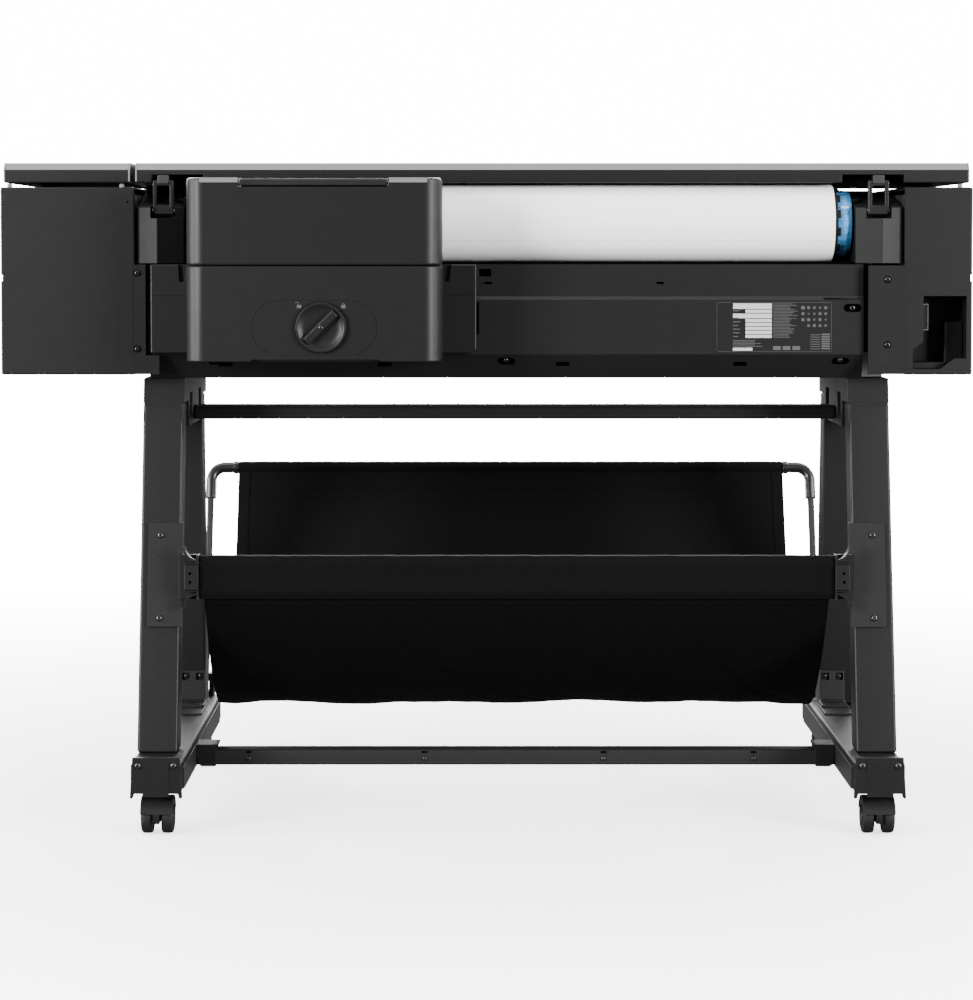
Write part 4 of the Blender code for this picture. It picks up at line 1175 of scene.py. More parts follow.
# ---------------------------------------------------------------- sheet feeder
class PLOTTER_OT_feeder(PlotterOperator, bpy.types.Operator):
    """Build the rear sheet feeder: base, cover, extension, knob, icons and mounting plate"""

    bl_idname = "plotter.feeder"
    bl_label = "Sheet feeder"

    def execute(self, context):
        self.base()
        self.cover()
        self.knob()
        self.icons()
        self.mount_plate()
        return self.done()

    def base(self):
        rear = corners("feeder_base")[0].y
        groove_outer = outline_solid(stadium((-0.2416, 0.7109), 0.1760, 0.0780, 16), rear - 0.01,
                                     rear + 0.0007, "Y")
        groove_inner = outline_solid(stadium((-0.2416, 0.7109), 0.1735, 0.0755, 16), rear - 0.02,
                                     rear + 0.02, "Y")
        groove = carved(groove_outer, [groove_inner])
        dress("feeder_base_shell", "feeder_base", 0.0005, cutters=[groove])

    def cover(self):
        low, high = corners("feeder_cover")
        handle_low, handle_high = corners("feeder_extension")
        spans = ((low.x + 0.0200, handle_low.x - 0.0012), (handle_high.x + 0.0012, high.x - 0.0200))
        deep, tall = 0.0030, 0.0068
        wedge = [(low.y - 0.001, high.z - tall), (low.y, high.z - tall), (low.y + deep, high.z),
                 (low.y + deep, high.z + 0.001), (low.y - 0.001, high.z + 0.001)]
        cuts = [outline_solid(wedge, start, end, "X") for start, end in spans]
        dress("feeder_cover_shell", "feeder_cover", 0.0006, cutters=cuts, body="feeder_cover_body")
        grips = []
        count = 22
        for index in range(count):
            x = handle_low.x + (handle_high.x - handle_low.x) * (index + 0.5) / count
            grips.append(rounded_box((x - 0.0014, handle_low.y + 0.0015, handle_high.z - 0.0006),
                                     (x + 0.0014, handle_high.y - 0.0300, handle_high.z + 0.0006), 0.0004))
        put("extension_shell", carved(cad_shape("feeder_extension"), [], 0.0016),
            SLOT_OF["feeder_extension"], "feeder_extension_body", ("feeder_extension",),
            finish=EXTRA_FINISH["handle"])
        # light strips in the wedge cuts along the cover's top edge: painted highlight
        face = [(low.y - 0.0002, high.z - tall), (low.y + deep, high.z + 0.0001),
                (low.y + deep + 0.0008, high.z - 0.0003), (low.y + 0.0008, high.z - tall)]
        lit = [outline_solid(face, start + 0.0003, end - 0.0003, "X") for start, end in spans]
        # a lighter bar along the handle's edge: painted highlight
        bar = rounded_box((handle_low.x + 0.0040, handle_low.y - 0.0010, handle_high.z - 0.0030),
                          (handle_high.x - 0.0040, handle_low.y + 0.0040, handle_high.z + 0.0004), 0.0013, 3)
        put("extension_handle_highlight", bar, "black_plastic", "feeder_extension_body",
            finish=EXTRA_FINISH["rim"])
        put("cover_lit_edges", lit, "charcoal_plastic", "feeder_cover_body",
            finish=EXTRA_FINISH["cover_edge"])
        put("extension_grip_ribs", grips, "black_plastic", "feeder_extension_body")
        hinges = []
        for x in (low.x + 0.045, high.x - 0.045):
            hinges.append(turned([(0, -0.020), (0.0022, -0.020), (0.0026, -0.0194), (0.0026, 0.0194),
                                  (0.0022, 0.020), (0, 0.020)], (x, low.y + 0.0070, low.z + 0.0036),
                                 (1, 0, 0), 16))
        put("feeder_hinge_pins", hinges, "zinc_steel", "feeder_cover_body")

    def knob(self):
        """A dished knob with a raised grip across it, a rim and a centre screw."""
        low, high = corners("lock_knob")
        x, z = (low.x + high.x) / 2, (low.z + high.z) / 2
        face = corners("feeder_base")[0].y
        radius = (high.x - low.x) / 2
        profile = [(0, 0.0012), (0.020, 0.0012), (0.026, 0.0018), (0.0300, 0.0040), (0.0318, 0.0056),
                   (0.0336, 0.0060), (radius - 0.0006, 0.0056), (radius, 0.0048), (radius, -0.0078),
                   (0, -0.0078)]
        dish = turned(profile, (x, face, z), (0, -1, 0), 96)
        put("lock_knob_dish", dish, "charcoal_plastic", "lock_knob_body", ("lock_knob",))
        place = Matrix.Translation((x, face, z)) @ Matrix.Rotation(math.radians(45), 4, "Y")
        grip = rounded_box((-0.0056, -0.0092, -0.0290), (0.0056, 0.002, 0.0290), 0.0024, 4)
        put("lock_knob_grip", moved(grip, place.copy()), "charcoal_plastic", "lock_knob_body")
        # a thin lighter strip along the grip's edge: painted highlight
        edge = rounded_box((-0.0060, -0.0096, -0.0286), (-0.0044, -0.0080, 0.0286), 0.0005)
        put("lock_knob_lit_edge", moved(edge, place), "charcoal_plastic", "lock_knob_body",
            finish=EXTRA_FINISH["rim"])
        put("lock_knob_screw", button_head((x, face - 0.0088, z), (0, -1, 0), 0.0030, 0.0012), "zinc_steel",
            "lock_knob_body", finish=EXTRA_FINISH["screw"])

    def icons(self):
        """An open and a closed padlock, printed beside the knob."""
        face = corners("feeder_base")[0].y - 0.0001
        shapes = []
        for x, z, lift in ((-0.2629, 0.7420, 0.0022), (-0.2010, 0.7420, 0.0)):
            shapes.append(printed_patch((x - 0.0032, z - 0.0034), (x + 0.0032, z + 0.0012), face))
            shift = -0.0030 if lift else 0.0
            bow = arc_points((x + shift, z + 0.0012 + lift), 0.0022, 0, 180, 10)
            inner = arc_points((x + shift, z + 0.0012 + lift), 0.0014, 180, 0, 10)
            shapes.append(outline_solid(bow + inner, face - 0.00015, face, "Y"))
            for leg in ((0.0014, 0.0022),) if lift else ((0.0014, 0.0022), (-0.0022, -0.0014)):
                shapes.append(printed_patch((x + shift + leg[0], z + 0.0006),
                                            (x + shift + leg[1], z + 0.0014 + lift), face))
        put("padlock_icons", shapes, "charcoal_plastic", finish=EXTRA_FINISH["grey_ink"])

    def mount_plate(self):
        """The plate behind the feeder, with its groove, tapered notches and clipped corner."""
        low, high = corners("feeder_mount_plate")
        groove = rounded_box((low.x - 0.01, low.y - 0.01, 0.7541), (high.x + 0.01, low.y + 0.0006, 0.7549),
                             0.0)
        corner = outline_solid([(high.x - 0.008, low.z - 0.001), (high.x + 0.001, low.z - 0.001),
                                (high.x + 0.001, low.z + 0.008)], low.y - 0.01, high.y + 0.01, "Y")
        notches = []
        for left, right in ((-0.4440, -0.4310), (-0.0650, -0.0505)):
            outline = [(left, 0.801), (left + 0.0016, 0.774), (right - 0.0036, 0.774), (right, 0.801)]
            notches.append(outline_solid(outline, low.y - 0.01, low.y + 0.006, "Y"))
        dress("feeder_mount_shell", "feeder_mount_plate", 0.0006, cutters=[groove, corner, *notches])
        gap = rounded_box((high.x + 0.0002, low.y + 0.004, 0.6985),
                          (high.x + 0.0040, high.y - 0.001, 0.7450), 0.0003)
        put("feeder_side_shadow_gap", gap, "black_plastic", finish=EXTRA_FINISH["void"])


# ---------------------------------------------------------------- stand
REAR_LEAN = ((-0.2815, 0.103), (-0.1815, 0.611))
END_BRACKET = ((0.0, 0.0960), (0.0332, 0.0960), (0.0318, 0.0915), (0.0302, 0.0880), (0.0295, 0.0635),
               (0.0090, 0.0635), (0.0052, 0.0655), (0.0028, 0.0700), (0.0010, 0.0780), (0.0, 0.0860))
BRACKET_SIDE = ((0.1352, 0.1040), (0.1352, 0.1590), (0.1290, 0.1590), (0.1215, 0.1150), (0.1150, 0.1104),
                (0.1150, 0.1040))
CAP_OUTLINE = ((-0.90, 0.1115), (0.90, 0.1115), (1.0, 0.0540), (0.89, 0.0540), (0.84, 0.0605),
               (-0.84, 0.0605), (-0.89, 0.0540), (-1.0, 0.0540))


class PLOTTER_OT_stand(PlotterOperator, bpy.types.Operator):
    """Build the stand's brackets, bolts, foam strips, end caps and lit foot sides"""

    bl_idname = "plotter.stand"
    bl_label = "Stand fittings"

    def execute(self, context):
        screw = self.sizes.screw
        bolts = []
        for name, side in (("left", -1), ("right", 1)):
            bolts += self.basket_bracket_screws(name, screw)
            bolts += self.foot(name, side, screw)
            self.head(name)
        bolts += self.crossbars(screw)
        put("stand_bolts", bolts, "zinc_steel", finish=EXTRA_FINISH["screw"])
        for name in ("left", "right"):
            for place in ("rear", "front"):
                self.column(f"{name}_{place}_column")
        return self.done()

    @staticmethod
    def column(node):
        dress(f"{node}_tube", node, 0.0012)

    @staticmethod
    def lean(z):
        """The rear columns' rear face (y) at a height."""
        bottom, top = REAR_LEAN
        return bottom[0] + (top[0] - bottom[0]) * (z - bottom[1]) / (top[1] - bottom[1])

    def basket_bracket_screws(self, name, radius):
        low, high = corners(f"{name}_rear_column")
        middle = (low.x + high.x) / 2
        facing = (0, -0.981, 0.193)
        bolts = []
        for z in (0.4095, 0.2925):
            bolts.append(button_head((middle, self.lean(z) - 0.0046, z), facing, radius, 0.0030))
        ear_low, ear_high = corners(f"{name}_basket_bracket")
        inner = ear_high.x if name == "left" else ear_low.x
        sign = -1 if name == "left" else 1
        clip_x = sorted((inner, inner + sign * 0.0205))
        clip = rounded_box((clip_x[0], -0.2665, 0.3345), (clip_x[1], -0.2505, 0.3705), 0.0012, 3)
        edge = inner + sign * 0.0200
        ribs = [self.gusset(edge, inner, z, way) for z, way in ((0.3770, 1), (0.3290, -1))]
        ribs += [rounded_box((min(edge, inner), -0.2650, z), (max(edge, inner), -0.2480, z + 0.0020), 0.0006)
                 for z in (0.3712, 0.3318)]
        holes = []
        for z in (0.3585, 0.3460):
            holes.append(turned([(0, -0.01), (0.0022, -0.01), (0.0022, 0.01), (0, 0.01)],
                                (inner + sign * 0.0120, -0.2665, z), (0, 1, 0), 16))
        # the bracket plate in a lighter copy of the coat: painted light
        dress(f"{name}_bracket_plate", f"{name}_basket_bracket", 0.0009, finish=EXTRA_FINISH["bracket"])
        body = carved(clip, holes, 0.0004)
        put(f"{name}_basket_clip", [body, *ribs], "coated_steel")
        return bolts

    @staticmethod
    def gusset(edge, inner, z, way):
        """A curved web that sweeps from the column's edge into the clip."""
        upper, lower = [], []
        for step in range(13):
            angle = math.radians(90 * step / 12)
            x = edge + (inner - edge) * (1 - math.cos(angle))
            rise = 0.0190 * (1 - math.sin(angle))
            upper.append((x, z + way * (rise + 0.0012)))
            lower.append((x, z + way * (rise * 0.86 - 0.0014)))
        return outline_solid(upper + lower[::-1], -0.2655, -0.2450, "Y", 0.0003)

    def foot(self, name, side, radius):
        low, high = corners(f"{name}_foot_beam")
        cap_low, cap_high = corners(f"{name}_foot_rear_cap")
        column_low, column_high = corners(f"{name}_front_column")
        inner = high.x if side < 0 else low.x
        dress(f"{name}_foot_tube", f"{name}_foot_beam", 0.0008)
        middle_cap = (cap_low.x + cap_high.x) / 2
        half = (cap_high.x - cap_low.x) / 2
        outline = [(middle_cap + across * half, z) for across, z in CAP_OUTLINE]
        shell = outline_solid(outline, cap_low.y + 0.0002, cap_high.y, "Y", 0.0008)
        panel = rounded_box((middle_cap - 0.0185, cap_low.y - 0.0004, 0.0560),
                            (middle_cap + 0.0185, cap_low.y + 0.0010, 0.1070), 0.0004)
        put(f"{name}_rear_cap_moulding", [shell, panel], "charcoal_plastic",
            replaces=(f"{name}_foot_rear_cap",))
        skirt_x = sorted((inner, inner - side * 0.0012))
        skirt = rounded_box((skirt_x[0], low.y + 0.012, low.z + 0.002),
                            (skirt_x[1], high.y - 0.030, 0.103 - 0.008),
                            0.0003)
        # the foot's inner side in a lighter copy of the coat: painted light
        put(f"{name}_foot_lit_side", skirt, "coated_steel", finish=EXTRA_FINISH["foot_side"])
        bolts = [button_head((x, cap_low.y, 0.1000), (0, -1, 0), radius, 0.0026)
                 for x in (cap_low.x + 0.0115, cap_high.x - 0.0115)]
        self.foot_bracket(name, side, column_low, column_high)
        middle = (column_low.x + column_high.x) / 2
        for dx in (-0.0110, 0.0110):
            x = middle - side * 0.010 + dx
            bolts.append(button_head((x, 0.1322, 0.1495), (0, -1, 0), radius * 0.8, 0.0030))
        return bolts

    @staticmethod
    def foot_bracket(name, side, column_low, column_high):
        """A bracket with two square pockets that ties the front column to the foot."""
        middle = (column_low.x + column_high.x) / 2 - side * 0.010
        left, right = middle - 0.0192, middle + 0.0192
        block = outline_solid(BRACKET_SIDE, left, right, "X", 0.0010)
        pockets = [rounded_box((middle + across - 0.0062, 0.090, 0.1440),
                               (middle + across + 0.0062, 0.1320, 0.1552), 0.0)
                   for across in (-0.0110, 0.0110)]
        flange = rounded_box((left - 0.0030, 0.0400, 0.1034), (right + 0.0030, 0.1340, 0.1064), 0.0008)
        step = rounded_box((left - 0.0014, 0.0900, 0.1060), (right + 0.0014, 0.1340, 0.1110), 0.0010)
        # the bracket in a lighter copy of the coat: painted light
        put(f"{name}_front_column_bracket", [carved(block, pockets, 0.0004), flange, step], "coated_steel",
            finish=EXTRA_FINISH["bracket"])

    def head(self, name):
        """The head that carries the printer, with a skirt that closes its joint to the rear column."""
        low, high = corners(f"{name}_leg_head")
        bottom, top = 0.550, 0.640
        behind = [(-0.210, bottom), (self.lean(bottom) + 0.0003, bottom), (self.lean(top) + 0.0003, top),
                  (-0.210, top)]
        flush = outline_solid(behind, low.x - 0.01, high.x + 0.01, "X")
        outer = low.x if name == "left" else high.x
        side = -1 if name == "left" else 1
        edges = sorted((outer - side * 0.0019, outer + side * 0.01))
        trim = rounded_box((edges[0], low.y - 0.05, bottom), (edges[1], high.y + 0.05, top), 0.0)
        casting = carved(cad_shape(f"{name}_leg_head"), [flush, trim], 0.0008)
        column_low, column_high = corners(f"{name}_rear_column")
        inset, skirt_low, skirt_high = 0.0006, 0.570, 0.602
        sides = [(self.lean(skirt_low) + inset, skirt_low), (-0.176, skirt_low), (-0.176, skirt_high),
                 (self.lean(skirt_high) + inset, skirt_high)]
        skirt = outline_solid(sides, column_low.x + inset, column_high.x - inset, "X", 0.0004)
        put(f"{name}_head_casting", [casting, skirt], "coated_steel", replaces=(f"{name}_leg_head",))

    def crossbars(self, radius):
        low, high = corners("upper_crossbar")
        strip = rounded_box((low.x + 0.002, low.y + 0.0008, high.z - 0.0002),
                            (high.x - 0.002, high.y - 0.0020, high.z + 0.0014), 0.0005)
        put("crossbar_foam_strip", strip, "wheel_rubber", finish=EXTRA_FINISH["foam"])
        low, high = corners("lower_crossbar")
        # the lower crossbar in a lighter copy of the coat: painted light
        dress("lower_crossbar_tube", "lower_crossbar", 0.0012, finish=EXTRA_FINISH["foot_side"])
        brackets = []
        inner_gap = 0.0310
        for x, side in ((low.x, 1), (high.x, -1)):
            outline = [(x + side * across, z) for across, z in END_BRACKET]
            brackets.append(outline_solid(outline, low.y - 0.0060, high.y + 0.0060, "Y", 0.0012))
        put("crossbar_end_brackets", brackets, "coated_steel")
        strip = rounded_box((low.x + inner_gap, low.y + 0.0010, high.z - 0.0002),
                            (high.x - inner_gap, high.y - 0.0010, high.z + 0.0008), 0.0003)
        put("lower_crossbar_foam_strip", strip, "wheel_rubber", finish=EXTRA_FINISH["foam"])
        bolts, notch_shades = [], []
        for x in (-0.3489, -0.0906, 0.1719, 0.3920):
            bolts.append(button_head((x, low.y, 0.0740), (0, -1, 0), radius * 0.75, 0.0024))
            # flat near-black patches: painted shade in the crossbar's notches
            notch_shades.append(outline_solid(stadium((x, 0.0838), 0.0090, 0.0030, 6), low.y - 0.0004,
                                         low.y + 0.0004, "Y"))
        put("crossbar_painted_notches", notch_shades, "black_plastic", finish=EXTRA_FINISH["void"])
        return bolts


class PLOTTER_OT_casters(PlotterOperator, bpy.types.Operator):
    """Build the twin-wheel casters: hooded forks, tyres, wheel discs and stem collars"""

    bl_idname = "plotter.casters"
    bl_label = "Casters"

    def execute(self, context):
        for place in ("rear", "front"):
            for name in ("left", "right"):
                self.caster(f"{place}_{name}_caster")
        return self.done()

    def caster(self, name):
        low, high = corners(f"{name}_wheels")
        centre = ((low.x + high.x) / 2, (low.y + high.y) / 2, (low.z + high.z) / 2)
        radius, half = (high.z - low.z) / 2, (high.x - low.x) / 2
        dress(f"{name}_hood", f"{name}_fork", 0.0006, body=f"{name}_swivel")
        fork_low, fork_high = corners(f"{name}_fork")
        stem = fork_low.y + 0.0285 + (0.012 if name.startswith("rear") else -0.012)
        collar = ring(0.0105, 0.0040, 0.0, 0.0028, (centre[0], stem, fork_high.z - 0.0036), (0, 0, 1), 32,
                      0.0004)
        put(f"{name}_stem_collar", collar, "zinc_steel", f"{name}_swivel")
        tyres, discs = [], []
        for side in (-1, 1):
            inner = 0.0066
            tyre = [(radius - 0.0075, half - 0.0006), (radius - 0.0045, half),
                    (radius - 0.0018, half - 0.0008),
                    (radius - 0.0002, half - 0.0036), (radius, (half + inner) / 2),
                    (radius - 0.0002, inner + 0.0024),
                    (radius - 0.0014, inner), (radius - 0.0075, inner), (radius - 0.0075, half - 0.0006)]
            tyres.append(turned(tyre, centre, (side, 0, 0), 72))
            disc = [(0.0, half - 0.0030), (0.0035, half - 0.0030), (0.0045, half - 0.0012),
                    (0.0070, half - 0.0012),
                    (0.0085, half - 0.0034), (0.0145, half - 0.0030), (0.0165, half - 0.0010),
                    (radius - 0.0072, half - 0.0010), (radius - 0.0072, inner + 0.001), (0.0042, inner),
                    (0.0042, -0.0005), (0, -0.0005)]
            discs.append(turned(disc, centre, (side, 0, 0), 56))
        put(f"{name}_tyres", tyres, "wheel_rubber", f"{name}_axle", (f"{name}_wheels",))
        put(f"{name}_wheel_discs", discs, "black_plastic", f"{name}_axle")


# ---------------------------------------------------------------- basket
FRONT_TUBE = (0.349, 0.4615)
BASKET_PIVOT = (0.232, 0.128)
SLING_LOW = (0.020, 0.128)
SLING_ENDS = ((-0.250, 0.3150), (0.3370, 0.4450))
SLING_TIPS = ((-0.2502, 0.3240), (0.3396, 0.4552))
SLING_TAIL = 0.012


def sling_place(share):
    """A point (y, z) of the sling, from inside the rear bar at 0 to the front tube at 1."""
    rear, front = SLING_ENDS
    if share < SLING_TAIL:
        return tuple(Vector(SLING_TIPS[0]).lerp(Vector(rear), share / SLING_TAIL))
    if share > 1 - SLING_TAIL:
        return tuple(Vector(SLING_TIPS[1]).lerp(Vector(front), (1 - share) / SLING_TAIL))
    y = rear[0] + (front[0] - rear[0]) * (share - SLING_TAIL) / (1 - 2 * SLING_TAIL)
    end, power = (rear, 2.1) if y < SLING_LOW[0] else (front, 2.5)
    lift = abs((y - SLING_LOW[0]) / (end[0] - SLING_LOW[0])) ** power
    return y, SLING_LOW[1] + (end[1] - SLING_LOW[1]) * lift


def even_places(place, count):
    """Shares from 0 to 1 that divide a curve into equal lengths, and the curve's length."""
    fine = 600
    points = [Vector((0, *place(step / fine))) for step in range(fine + 1)]
    lengths = [0.0]
    for start, end in zip(points, points[1:]):
        lengths.append(lengths[-1] + (end - start).length)
    shares, index = [], 0
    for step in range(count + 1):
        wanted = lengths[-1] * step / count
        while index < fine - 1 and lengths[index + 1] < wanted:
            index += 1
        part = (wanted - lengths[index]) / (lengths[index + 1] - lengths[index])
        shares.append((index + part) / fine)
    return shares, lengths[-1]


class PLOTTER_OT_basket(PlotterOperator, bpy.types.Operator):
    """Hang the basket's cloth with its folds, hems and stitches, and build its rods and joints"""

    bl_idname = "plotter.basket"
    bl_label = "Basket"

    def execute(self, context):
        low, high = corners("basket_fabric")
        self.low, self.high = low.x, high.x
        self.cloth()
        self.wraps()
        for name in ("left", "right"):
            self.arm(name)
        return self.done()

    def fold(self, x, share):
        """How far the cloth stands off its mean line at a place: long soft folds and puckers."""
        depth = self.sizes.wrinkle
        across = (x - self.low) / (self.high - self.low)
        middle = math.sin(math.pi * share) ** 0.6
        ends = max(0.0, 1 - min(across, 1 - across) / 0.16)
        drift = noise.noise(Vector((x * 3.1, share * 2.0, 4.0)))
        creases = noise.noise(Vector((x * 9.0 + share * 6.0, share * 3.2, 9.0)))
        ridge = 1 - abs(noise.noise(Vector((x * 7.0 - share * 5.0, share * 2.4 + 3, 2.0)))) * 2.4
        pull = math.sin(across * 46 + share * 9) * ends * 0.45
        pucker = noise.noise(Vector((x * 60, share * 22, 1.0))) * 0.12
        return depth * middle * (drift * 0.9 + creases * 0.55 + max(0.0, ridge) ** 3 * 0.5 + pull + pucker)

    def cloth_point(self, x, share, lift=0.0):
        y, z = sling_place(share)
        near = sling_place(min(1.0, share + 0.002))
        far = sling_place(max(0.0, share - 0.002))
        run = Vector((near[0] - far[0], near[1] - far[1])).normalized()
        off = max(self.fold(x, share), -0.0020) + lift + 0.0012
        return Vector((x, y - run.y * off, z + run.x * off))

    def cloth(self):
        across, along = 340, 260
        shares, length = even_places(sling_place, along)
        bm = bmesh.new()
        grid = []
        for share in shares:
            row = [bm.verts.new(self.cloth_point(self.low + 0.0008 + (self.high - self.low - 0.0016)
                                                 * step / across, share)) for step in range(across + 1)]
            grid.append(row)
        for lower, upper in zip(grid, grid[1:]):
            for left, right, above_right, above in zip(lower, lower[1:], upper[1:], upper):
                bm.faces.new((left, right, above_right, above))
        self.thicken(bm, 0.0009)
        cloth = put("basket_cloth", bm, "bag_fabric", BASKET, ("basket_fabric",), CLOTH_SMOOTH)
        hems = self.hems(shares)
        for piece in (cloth, *hems):
            self.bend(piece)

    @staticmethod
    def bend(piece):
        """Frees the piece from its body: it loses its parent and body mark and its mesh is baked in place."""
        piece.parent = None
        if "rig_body" in piece:
            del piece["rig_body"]
        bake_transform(piece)

    @staticmethod
    def thicken(bm, depth):
        bmesh.ops.recalc_face_normals(bm, faces=bm.faces)
        bmesh.ops.solidify(bm, geom=bm.faces[:], thickness=depth)

    def hems(self, shares):
        """Doubled side hems with two rows of lockstitches, and cross seams near both ends."""
        width = self.sizes.hem
        bands, stitches = bmesh.new(), []
        for side in (-1, 1):
            edge = self.low + 0.0010 if side < 0 else self.high - 0.0010
            inner = edge - side * width
            rows = []
            for share in shares[::2]:
                rows.append([bands.verts.new(self.cloth_point(edge + (inner - edge) * step / 6, share,
                                                              0.0014))
                             for step in range(7)])
            for lower, upper in zip(rows, rows[1:]):
                for place in range(6):
                    bands.faces.new((lower[place], lower[place + 1], upper[place + 1], upper[place]))
            for inset in (0.0025, width - 0.0025):
                stitches += self.stitches(lambda share: (edge - side * inset, share), shares)
        self.thicken(bands, 0.0008)
        band = put("basket_hems", bands, "bag_fabric", BASKET, smooth=60)
        for share in (0.018, 0.030, 0.966, 0.978):
            steps = [step / 420 for step in range(421)]
            stitches += self.stitches(lambda part: (self.low + 0.02 + (self.high - self.low - 0.04) * part,
                                                    share),
                                      steps)
        seam = put("basket_stitches", stitches, "bag_fabric", BASKET, finish=EXTRA_FINISH["thread"])
        return [band, seam]

    def stitches(self, place, steps):
        """Short raised threads over the cloth, one per pair of steps."""
        made = []
        for start, end in zip(steps[::2], steps[1::2]):
            first = self.cloth_point(*place(start), 0.0024)
            last = self.cloth_point(*place(end), 0.0024)
            last = first + (last - first) * 1.25
            thread = rounded_box((-0.00035, -0.0003, 0), (0.00035, 0.0003, (last - first).length), 0.0)
            turn = (last - first).to_track_quat("Z", "X").to_matrix().to_4x4()
            made.append(moved(thread, Matrix.Translation(first) @ turn))
        return made

    def wraps(self):
        """Cloth sleeves around the rear bar and the front tube, with puckered seams."""
        low, high = corners("basket_rear_bar")
        outline = [(low.y, high.z - 0.012), (low.y - 0.0, low.z + 0.010), (low.y + 0.004, low.z),
                   (high.y - 0.004, low.z), (high.y, low.z + 0.008), (high.y, high.z - 0.008),
                   (high.y - 0.004, high.z), (low.y + 0.004, high.z)]
        bar = self.sleeve(outline, low.x + 0.0006, high.x - 0.0006, 0.0006, 0.0012)
        put("rear_bar_sleeve", bar, "bag_fabric", replaces=("basket_rear_bar",), smooth=CLOTH_SMOOTH)
        low, high = corners("basket_front_tube")
        centre = ((low.y + high.y) / 2, (low.z + high.z) / 2)
        radius = (high.z - low.z) / 2
        outline = arc_points(centre, radius - 0.0002, 0, 345, 23)
        tube_sleeve = self.sleeve(outline, low.x + 0.0006, high.x - 0.0006, 0.0006, 0.0004)
        put("front_tube_sleeve", tube_sleeve, "bag_fabric", BASKET, ("basket_front_tube",), CLOTH_SMOOTH)

    @staticmethod
    def sleeve(outline, left, right, inset, depth):
        """A closed outline swept along X, its surface puckered inwards by up to depth."""
        centre = sum((Vector(point) for point in outline), Vector((0, 0))) / len(outline)
        fine = []
        for start, end in zip(outline, outline[1:] + outline[:1]):
            pieces = max(1, int((Vector(end) - Vector(start)).length / 0.004))
            fine += [Vector(start).lerp(Vector(end), step / pieces) for step in range(pieces)]
        bm = bmesh.new()
        rings = []
        count = 300
        for step in range(count + 1):
            x = left + (right - left) * step / count
            ring_verts = []
            for place in fine:
                pucker = noise.noise(Vector((x * 28, place.x * 30, place.y * 30))) * 0.5 + 0.5
                crease = abs(noise.noise(Vector((x * 70, place.x * 12, place.y * 12 + 5))))
                pull = inset + depth * (pucker * 0.7 + crease * 0.6)
                point = place + (centre - place).normalized() * pull
                ring_verts.append(bm.verts.new((x, point.x, point.y)))
            rings.append(ring_verts)
        for lower, upper in zip(rings, rings[1:]):
            for index in range(len(fine)):
                after = (index + 1) % len(fine)
                bm.faces.new((lower[index], lower[after], upper[after], upper[index]))
        bm.faces.new(rings[0])
        bm.faces.new(rings[-1])
        bmesh.ops.recalc_face_normals(bm, faces=bm.faces)
        return bm

    @staticmethod
    def elbow(side, inner):
        """A moulded sleeve around the rod's bend, thicker than the rod."""
        corner, reach = 0.022, 0.0445
        down = Vector((0, BASKET_PIVOT[0] - FRONT_TUBE[0], BASKET_PIVOT[1] - FRONT_TUBE[1])).normalized()
        turn = Vector((inner + side * reach, *FRONT_TUBE))
        points = [Vector((inner, *FRONT_TUBE))]
        for step in range(11):
            angle = math.radians(90 * step / 10)
            points.append(turn - Vector((side, 0, 0)) * corner * (1 - math.sin(angle))
                          + down * corner * (1 - math.cos(angle)))
        points.append(turn + down * 0.052)
        return tube(points, 0.0086, 20)

    def arm(self, name):
        """A moulded elbow at one end of the front tube, with its collar."""
        side = -1 if name == "left" else 1
        tube_low, tube_high = corners("basket_front_tube")
        inner = tube_low.x if side < 0 else tube_high.x
        collars = [ring(0.0104, 0.0040, 0.0004, 0.0080, (inner, *FRONT_TUBE), (side, 0, 0), 40)]
        collars.append(self.elbow(side, inner))
        put(f"{name}_tube_elbow", collars, "black_plastic", BASKET, finish=EXTRA_FINISH["handle"])


